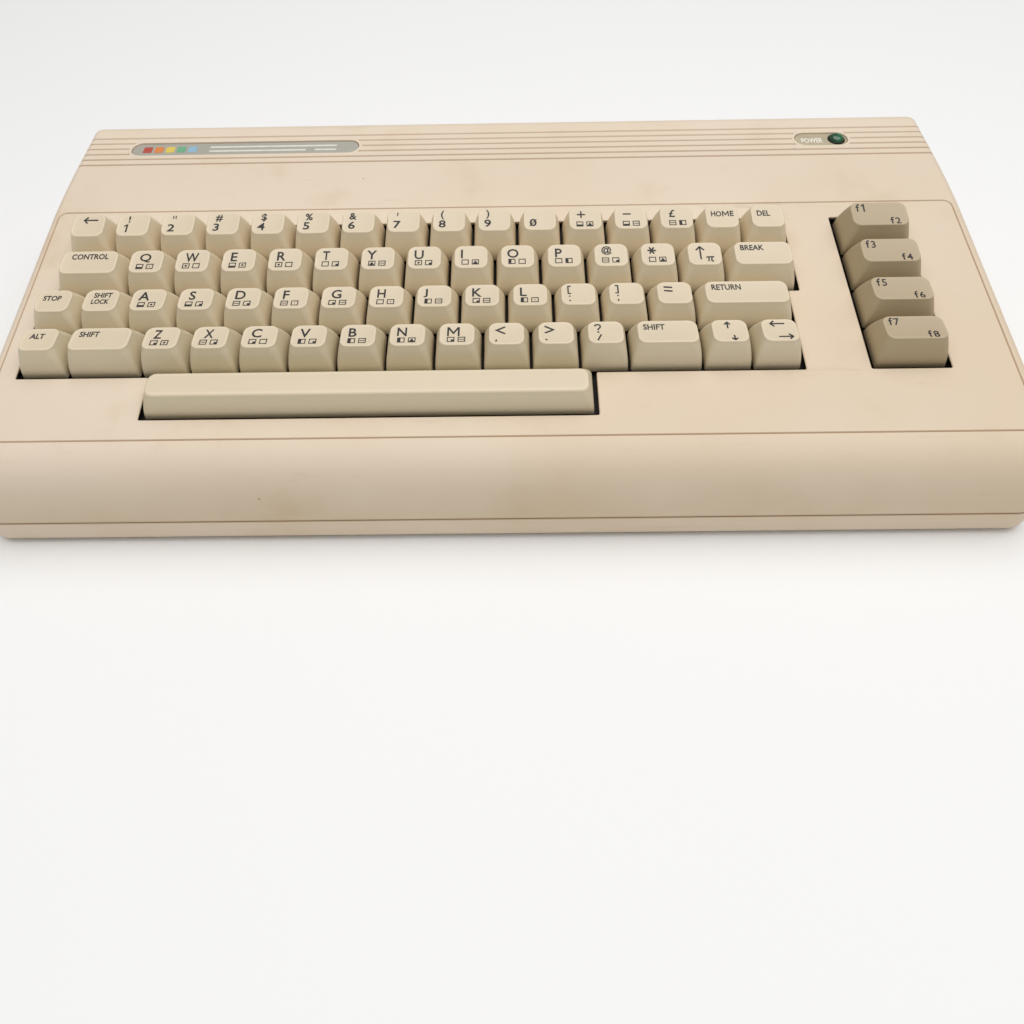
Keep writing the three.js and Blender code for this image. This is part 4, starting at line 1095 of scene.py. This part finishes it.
def holed_plate(cx, hx, hy, hole_x, hole_r):
    """The oval plate as a closed ring about its round hole."""
    s, out = stadium(cx, hx, hy, 16), []
    for i, (xa, ya) in enumerate(s):
        xb, yb = s[(i + 1) % len(s)]
        a0, a1 = math.atan2(ya, xa - hole_x), math.atan2(yb, xb - hole_x)
        da = (a1 - a0) % (2 * math.pi)
        n = max(1, round(da / 0.13))
        for j in range(n):
            a = a0 + da * j / n
            # where the ray from the hole's centre meets this edge
            ex, ey = xb - xa, yb - ya
            det = math.cos(a) * ey - math.sin(a) * ex
            t = ((xa - hole_x) * ey - ya * ex) / det if j else math.hypot(xa - hole_x, ya)
            out.append((hole_x + t * math.cos(a), t * math.sin(a)))
    hole = [(hole_x + hole_r * (x - hole_x) / math.hypot(x - hole_x, y), hole_r * y / math.hypot(x - hole_x, y)) for x, y in out]
    rings = [[(x, y, z) for x, y in offset(out, o)] for z, o in ((-1.3, -0.15), (-0.70, 0.0), (-0.58, -0.03), (-0.51, -0.12), (-0.48, -0.30))]
    rings += [[(x, y, z) for x, y in hole] for z in (-0.48, -1.3)]
    v, f = rings_mesh(rings, False, False)
    k = len(out)
    last = (len(rings) - 1) * k
    return v, f + [(last + i, last + (i + 1) % k, (i + 1) % k, i) for i in range(k)]


lamp_plate = obj_from("lamp_face", *holed_plate(LAMP_PX, LAMP_PHALF - 0.25, PLATE_HH - 0.25, LAMP_X, LAMP_HOLE), M_LAMP_PLATE, "case", BAND, 30, "power_plate")
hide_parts("power_plate")
weighted(lamp_plate)


def inlay(name, outlines, mat, z=-0.46):
    v, f = join_parts([prism(q, z - 0.05, z + 0.03) for q in outlines])
    return obj_from(name, v, f, mat, "case", BAND, 30, "name_plate")


def rule(x0, x1, y, h):
    return round_rect(x0, x1, y - h / 2, y + h / 2, h / 2 - 0.01, 4)


# a generic trim: five coloured tiles at the left, then plain white rules
for i, ink in enumerate(INKS):
    x = -170.2 + i * 5.4
    inlay("badge_tile_%d" % (i + 1), [round_rect(x - 2.1, x + 2.1, -2.3, 2.3, 0.6, 3)], ink)
inlay("badge_rules", [rule(-140.5, -79.5, 1.6, 1.25), rule(-140.5, -94.0, -1.6, 1.25), rule(-90.0, -79.5, -1.6, 1.25)], M_WHITE)

v, f = glyphs([("POWER", 3.7, 0.12)])[("POWER", 3.7, 0.12)]
wide = max(q[0] for q in v)
v = [(x * 10.0 / wide + 141.6, y - 1.85 - 0.5, -0.46 + z * 0.6) for x, y, z in v]
n = Nodes("print_worn")
worn = n.noise(900, 3, 0.65, lo=0.54, hi=0.68)
M_WORN = n.done(n.mix(worn, srgb(246, 241, 228), srgb(190, 178, 152)), 0.5)
obj_from("lamp_word", v, f, M_WORN, "case", BAND, 30, "power_plate")

n = Nodes("lamp_green")
glow = n.noise(260, 3, 0.5, lo=0.35, hi=0.7)
M_LAMP = n.done(n.mix(glow, srgb(20, 104, 58), srgb(8, 60, 34)), 0.16, n.bump(n.noise(700, 2, 0.5), 0.15, 0.0003),
                Coat_Weight=0.6, Coat_Roughness=0.06, Specular_IOR_Level=0.6)
collar = moved(lathe([(0, -7), (3.85, -7), (3.85, 0.0), (3.8, 0.16), (3.66, 0.26), (3.54, 0.26), (3.44, 0.16), (3.4, 0.0), (3.4, -0.6), (0, -0.6)], 44), LAMP_X)
lens = moved(lathe([(0, -0.65), (3.3, -0.65), (3.3, 0.3), (3.22, 0.72), (2.98, 1.14), (2.55, 1.52), (1.95, 1.84), (1.25, 2.04), (0.6, 2.13), (0, 2.16)], 44), LAMP_X)
c = obj_from("lamp_collar", *collar, M_BLACK, "case", BAND, 40, "lamp")
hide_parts("power_led")
c = obj_from("lamp_lens", *lens, M_LAMP, "case", BAND, 50, "lamp")
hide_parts("power_led")

# ------------------------------------------------------------------ sockets
def at_rear(x, y, z):
    """(across, up, outwards) to the object's frame for a socket in the rear wall."""
    return Matrix(((1, 0, 0, x), (0, 0, 1, y), (0, 1, 0, z), (0, 0, 0, 1)))


def at_side(x, y, z):
    return Matrix(((0, 0, 1, x), (1, 0, 0, y), (0, 1, 0, z), (0, 0, 0, 1)))


def din_socket(name, node, matrix, pins):
    o = obj_from(name + "_housing", *box_part(-9, 9, -9.1, 9.2, -16, -0.5, 0.5), M_BLACK, None, matrix, 35)
    cut(o, [(lathe([(0, -2), (7.7, -2), (7.7, -0.3), (7.45, 0.0), (0, 0)], 40), matrix)], "UNION")
    cut(o, [(lathe([(0, -8), (6.5, -8), (6.5, -0.35), (6.85, 0.02), (6.85, 1), (0, 1)], 40), matrix)])
    holes = [moved(lathe([(0, -11), (0.72, -11), (0.72, -8.2), (0.95, -7.9), (0.95, -7), (0, -7)], 12), px, py) for px, py in pins]
    cut(o, [(join_parts(holes), matrix)])
    shade(o, 35)
    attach(o, "case")
    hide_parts(node)
    # sprung metal sleeve with its key
    k, rings = 44, []
    for z, r in ((-7.95, 6.44), (-0.75, 6.44), (-0.55, 6.38), (-0.5, 6.25), (-0.58, 6.12), (-0.8, 6.06), (-7.95, 6.06)):
        row = []
        for i in range(k):
            a = 2 * math.pi * i / k - math.pi / 2
            d = abs((a + math.pi / 2 + math.pi) % (2 * math.pi) - math.pi)
            rr = r - (0.95 if d < 0.16 else 0.0)
            row.append((rr * math.cos(a), rr * math.sin(a), z))
        rings.append(row)
    vv, ff = rings_mesh(rings, False, False)
    last = (len(rings) - 1) * k
    ff += [(last + i, last + (i + 1) % k, (i + 1) % k, i) for i in range(k)]
    s = obj_from(name + "_sleeve", vv, ff, M_STEEL, "case", matrix, 35, "bare_metal")
    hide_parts(node)


ring_pins = lambda angles, r: [(r * math.cos(math.radians(a)), r * math.sin(math.radians(a))) for a in angles]
din_socket("serial", "serial_socket", at_rear(-34, 98.6, 26.5), ring_pins((90 - 120, 90 - 60, 90, 90 + 60, 90 + 120), 3.6) + [(0, 0)])
din_socket("audio_video", "audio_video_socket", at_rear(-2, 98.6, 26.5), ring_pins((-41, 0, 45, 90, 135, 180, 221), 3.7) + [(0, -0.4)])
din_socket("power", "power_socket", at_side(198.6, 52, 26.5), ring_pins((-30, 0, 45, 90, 135, 180, 210), 3.7))

cc = obj_from("cartridge_housing", *box_part(80, 144, 82, 97.5, 17.4, 32.4, 0.5), M_BLACK, None, None, 35)
cut(cc, [(box_part(83, 141, 87, 97, 22.4, 27.4), None),
         (rings_mesh([[(x, 96.6 + dy, z) for x, z in round_rect(83 - o, 141 + o, 22.4 - o, 27.4 + o, 0.3 + o, 3)] for dy, o in ((-0.8, 0.0), (0.0, 0.0), (1.0, 1.0), (2.0, 1.0))]), None)])
shade(cc, 35)
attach(cc, "case")
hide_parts("cartridge_connector")
fingers = []
for i in range(22):
    x = 112 + (i - 10.5) * 2.54
    for zb, sgn in ((22.4, 1), (27.4, -1)):
        prof = [(87.3, zb), (96.0, zb), (95.6, zb + sgn * 0.25), (93.4, zb + sgn * 0.95), (92.0, zb + sgn * 1.05), (90.2, zb + sgn * 0.8), (87.3, zb + sgn * 0.3)]
        fingers.append(rings_mesh([[(x - 0.6, a, b) for a, b in prof], [(x + 0.6, a, b) for a, b in prof]]))
f_obj = obj_from("cartridge_contacts", *join_parts(fingers), M_PIN, "case", None, 30, "bare_metal")
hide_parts("cartridge_connector")

pads = []
for cx, cnt in ((-142, 12), (-78, 6)):
    for i in range(cnt):
        x = cx + (i - (cnt - 1) / 2) * 3.96 * (1.0 if cnt == 12 else 0.98)
        for z0, z1 in ((17.1, 17.16), (15.44, 15.5)):
            pads.append(box_part(x - 1.25, x + 1.25, 94.0, 102.4, z0, z1))
obj_from("edge_contacts", *join_parts(pads), M_PIN, "case", None, 30, "main_board")

# television lead's socket and the screened box that carries it
parts = [box_part(18.3, 61.7, 48.3, 93.7, 17.4, 37.4, 0.4), box_part(18.0, 62.0, 48.0, 94.0, 32.4, 38.0, 0.7, 3)]
o = obj_from("modulator_can", *join_parts(parts), M_STEEL, "case", None, 35, "bare_metal")
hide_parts("video_modulator_box")
jack = lathe([(0, 94.3), (5.5, 94.3), (5.5, 96.4), (5.2, 96.8), (4.5, 96.95), (4.15, 97.3), (4.05, 97.6), (4.05, 102.4), (3.95, 102.75), (3.7, 102.97),
              (3.45, 102.97), (3.3, 102.75), (3.3, 101.2), (0, 101.2)], 36, "y")
o = obj_from("aerial_jack_barrel", *moved(jack, 42, 0, 27.5), M_STEEL, "case", None, 35, "bare_metal")
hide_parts("aerial_jack")
core = lathe([(0, 101.0), (3.25, 101.0), (3.25, 102.5), (3.05, 102.7), (1.95, 102.7), (1.75, 102.5), (1.75, 101.5), (0, 101.5)], 36, "y")
o = obj_from("aerial_jack_core", *moved(core, 42, 0, 27.5), M_WHITE, "case", None, 35, "bare_metal")
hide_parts("aerial_jack")

DEE = [(-8.9, 4.4), (-7.7, -4.4), (7.7, -4.4), (8.9, 4.4)]
for i, y in enumerate((-62, -26)):
    node = "joystick_port_%d" % (i + 1)
    m = at_side(197.0, y, 24)
    flange = box_part(-11.9, 11.9, -6.6, 6.6, -11.8, -5.3, 0.5)
    rear = box_part(-9, 9, -6.6, 3.0, -20.8, -11.5, 0.4)
    o = obj_from(node + "_flange", *join_parts([flange, rear]), M_BLACK, "case", m, 35, "sockets")
    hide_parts(node)
    d = round_poly(DEE, 2.3, 6)
    vv, ff = rings_mesh([[(a, b, z) for a, b in offset(d, q)] for z, q in (
        (-5.6, 0.5), (-5.0, 0.5), (-4.9, 0.15), (-4.7, 0.0), (-0.4, 0.0), (-0.12, -0.08), (0.0, -0.3), (-0.12, -0.55), (-0.4, -0.65), (-5.2, -0.65))])
    o = obj_from(node + "_shell", vv, ff, M_STEEL, "case", m, 35, "bare_metal")
    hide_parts(node)
    vv, ff = rings_mesh([[(a, b, z) for a, b in offset(d, q)] for z, q in ((-5.3, -0.8), (-4.4, -0.8), (-4.2, -1.0))])
    o = obj_from(node + "_insulator", vv, ff, M_BLACK, "case", m, 35, "sockets")
    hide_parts(node)
    pin = lathe([(0, -5.0), (0.5, -5.0), (0.5, -1.75), (0.38, -1.5), (0.2, -1.4), (0, -1.38)], 14)
    spots = [(-5.5 + k * 2.75, 1.4) for k in range(5)] + [(-4.1 + k * 2.75, -1.4) for k in range(4)]
    o = obj_from(node + "_pins", *join_parts([moved(pin, a, b) for a, b in spots]), M_PIN, "case", m, 40, "bare_metal")
    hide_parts(node)

# ------------------------------------------------------------------ power switch
m = at_side(200.2, 16, 26.5)
o = obj_from("switch_housing", *box_part(-10.6, 10.6, -9.1, 6.1, -20.2, -1.2, 0.4), M_BLACK, None, m, 35)
cut(o, [(box_part(-10.6, 10.6, -6.1, 6.1, -2.2, 0.0, 0.45, 3), m)], "UNION")
hollow = rings_mesh([[(a, b, z) for a, b in round_rect(-9.2 - q, 9.2 + q, -5.1 - q, 4.7 + q, 0.5 + q, 4)] for z, q in ((-10.2, 0.0), (-0.6, 0.0), (-0.2, 0.12), (0.02, 0.4), (1.0, 0.4))])
cut(o, [(hollow, m)])
shade(o, 35)
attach(o, "case")
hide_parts("power_switch_body")


def rocker_face(t):
    """Height of the rocker's hollow face for a distance t along it."""
    return 2.75 + 1.25 * (t / 8.0) ** 2


outline = [(-3.2, -4.5), (3.2, -8.15)] + [(rocker_face(-8 + 16 * i / 16), -8 + 16 * i / 16) for i in range(17)] + [(3.2, 8.15), (-3.2, 4.5), (-4, 0)]
ROCK = Matrix.Translation((196.4, 16, 0)) @ Matrix.Rotation(math.radians(-10), 4, "Z")
vv, ff = rings_mesh([[(a, b, z) for a, b in offset(outline, q)] for z, q in ((21.85, -0.4), (21.95, -0.15), (22.2, 0.0), (30.4, 0.0), (30.65, -0.15), (30.75, -0.4))])
o = obj_from("rocker_paddle", vv, ff, M_SWITCH, "power_switch_rocker", ROCK, 35, "switch")
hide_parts("power_switch_rocker")
marks = []
for i in range(20):
    a0, a1 = 2 * math.pi * i / 20, 2 * math.pi * (i + 1) / 20
    q = [(5.0 + r * math.cos(a), 26.3 + r * math.sin(a)) for r, a in ((1.15, a0), (1.5, a0), (1.5, a1), (1.15, a1))]
    marks.append(q)
marks.append([(-5.2, 24.9), (-4.8, 24.9), (-4.8, 27.7), (-5.2, 27.7)])
vv, ff = join_parts([rings_mesh([[(rocker_face(t) + h, t, z) for t, z in q] for h in (-0.05, 0.03)]) for q in marks])
obj_from("rocker_marks", vv, ff, M_WHITE, "power_switch_rocker", ROCK, 30, "switch")

# ------------------------------------------------------------------ feet, screws, wire
for node, (x, y) in {"foot_front_left": (-176, -84), "foot_front_right": (176, -84), "foot_rear_left": (-176, 84), "foot_rear_right": (176, 84)}.items():
    foot = lathe([(0, 0.7), (2.0, 0.7), (2.5, 0.55), (2.9, 0.1), (3.2, 0.0), (6.5, 0.0), (6.95, 0.12), (7.25, 0.45), (7.9, 2.3), (7.95, 2.55), (7.85, 2.7), (0, 2.7)], 44)
    o = obj_from(node.replace("foot", "pad"), *moved(foot, x, y), M_RUBBER, "case", None, 40, "feet")
    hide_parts(node)
for node, (x, y) in zip(("case_screw_left", "case_screw_middle", "case_screw_right"), SCREWS):
    screw = lathe([(0, 5.4), (1.5, 5.45), (2.4, 5.7), (3.05, 6.2), (3.35, 6.9), (3.4, 7.6), (3.3, 7.7), (1.55, 7.7), (1.55, 27.4), (1.2, 28), (0, 28)], 28)
    o = obj_from(node.replace("case_", ""), *moved(screw, x, y), M_STEEL, None, None, 35)
    a = rings_mesh([[(x + s * 0.42, y + t * 2.0, 5.2) for s, t in ((-1, -1), (1, -1), (1, 1), (-1, 1))], [(x + s * 0.3, y + t * 1.1, 7.1) for s, t in ((-1, -1), (1, -1), (1, 1), (-1, 1))]])
    b = rings_mesh([[(x + s * 2.0, y + t * 0.42, 5.2) for s, t in ((-1, -1), (1, -1), (1, 1), (-1, 1))], [(x + s * 1.1, y + t * 0.3, 7.1) for s, t in ((-1, -1), (1, -1), (1, 1), (-1, 1))]])
    cut(o, [(a, None), (b, None)])
    shade(o, 35)
    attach(o, "case")
    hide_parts(node)


def sweep(points, r, n=12, bend=1.6):
    """Round wire through the points, with rounded bends."""
    path = []
    for i, p in enumerate(points):
        p = Vector(p)
        if i in (0, len(points) - 1):
            path.append(p)
            continue
        a, b = (Vector(points[i - 1]) - p), (Vector(points[i + 1]) - p)
        d = min(bend, a.length / 2.2, b.length / 2.2)
        s, e = p + a.normalized() * d, p + b.normalized() * d
        for k in range(5):
            t = k / 4
            path.append(s * (1 - t) ** 2 + p * 2 * t * (1 - t) + e * t * t)
    up = Vector((0.3, 0.5, 0.8)).normalized()
    rings = []
    for i, p in enumerate(path):
        t = (path[min(i + 1, len(path) - 1)] - path[max(i - 1, 0)]).normalized()
        up = (up - t * up.dot(t)).normalized()
        side = t.cross(up)
        rings.append([tuple(p + (up * math.cos(2 * math.pi * j / n) + side * math.sin(2 * math.pi * j / n)) * r) for j in range(n)])
    return rings_mesh(rings)


wire = sweep([(72.5, -7.4, -1.2), (78, -7.4, -1.2), (78, -15, 0.7), (189, -15, 0.7), (189, -7.4, -1.2), (194.5, -7.4, -1.2)], 0.8)
o = obj_from("bar_wire", *wire, M_STEEL, "space_bar_wire", KB, 50, "wire")
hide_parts("space_bar_wire")

# ------------------------------------------------------------------ inside pieces that keep their own solids
n = Nodes("main_board_finish")
z = n.new("ShaderNodeSeparateXYZ")
n.link(n.coord, z.inputs[0])
above = n.ramp(z.outputs["Z"], 0.01716, 0.01724)
green = n.mix(n.noise(90, 5, 0.6, lo=0.45, hi=0.55), srgb(40, 84, 42), srgb(52, 104, 52))
M_MAIN = n.done(n.mix(above, green, srgb(28, 28, 29)), n.math("ADD", n.math("MULTIPLY", n.noise(300, 3, 0.6), 0.2), 0.35))
for node, mat in (("keyboard_frame", M_FRAME), ("keyboard_circuit_board", M_PHENOLIC), ("main_circuit_board", M_MAIN)):
    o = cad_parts[node]
    for slot in o.material_slots:
        slot.material = mat


# ------------------------------------------------------------------ floor, light, camera
def area(name, loc, target, size_x, size_y, watts, color=(1, 1, 1)):
    d = bpy.data.lights.new(name, "AREA")
    d.shape = "RECTANGLE"
    d.size, d.size_y, d.energy, d.color = size_x, size_y, watts, color
    o = bpy.data.objects.new(name, d)
    o.location = loc
    o.rotation_euler = (Vector(target) - Vector(loc)).to_track_quat("-Z", "Y").to_euler()
    SCENE.collection.objects.link(o)


bm = bmesh.new()
bmesh.ops.create_grid(bm, x_segments=40, y_segments=40, size=4.0)
me = bpy.data.meshes.new("floor")
bm.to_mesh(me)
bm.free()
n = Nodes("floor_paper")
me.materials.append(n.done(n.mix(n.noise(3, 3, 0.5), (0.97, 0.97, 0.965, 1), (0.95, 0.95, 0.945, 1)), 0.85, Specular_IOR_Level=0.1))
floor = bpy.data.objects.new("floor", me)
SCENE.collection.objects.link(floor)

world = bpy.data.worlds.new("studio") if SCENE.world is None else SCENE.world
SCENE.world = world
world.use_nodes = True
world.node_tree.nodes["Background"].inputs["Color"].default_value = (1.0, 0.99, 0.975, 1)
world.node_tree.nodes["Background"].inputs["Strength"].default_value = 0.3
area("key_light", (0.15, -0.1, 1.6), (0, 0.0, 0.03), 2.0, 2.0, 26)

right, forward = Vector((0.99983, 0.00106, -0.01862)), Vector((-0.01294, 0.75842, -0.65163)).normalized()
right = (right - forward * right.dot(forward)).normalized()
up = right.cross(forward)
cam = bpy.data.cameras.new("camera")
cam.sensor_width, cam.sensor_fit = 36.0, "HORIZONTAL"
cam.lens = 933.6 / 1024 * 36.0
cam.shift_x, cam.shift_y = (512 - 502.9) / 1024, (302.8 - 512) / 1024
cam.clip_start, cam.clip_end = 0.01, 20.0
camera = bpy.data.objects.new("camera", cam)
camera.matrix_world = Matrix((
    (right.x, up.x, -forward.x, 0.0047), (right.y, up.y, -forward.y, -0.3228), (right.z, up.z, -forward.z, 0.3063), (0, 0, 0, 1)))
SCENE.collection.objects.link(camera)
SCENE.camera = camera
SCENE.view_settings.view_transform = "Standard"
SCENE.view_settings.look = "None"
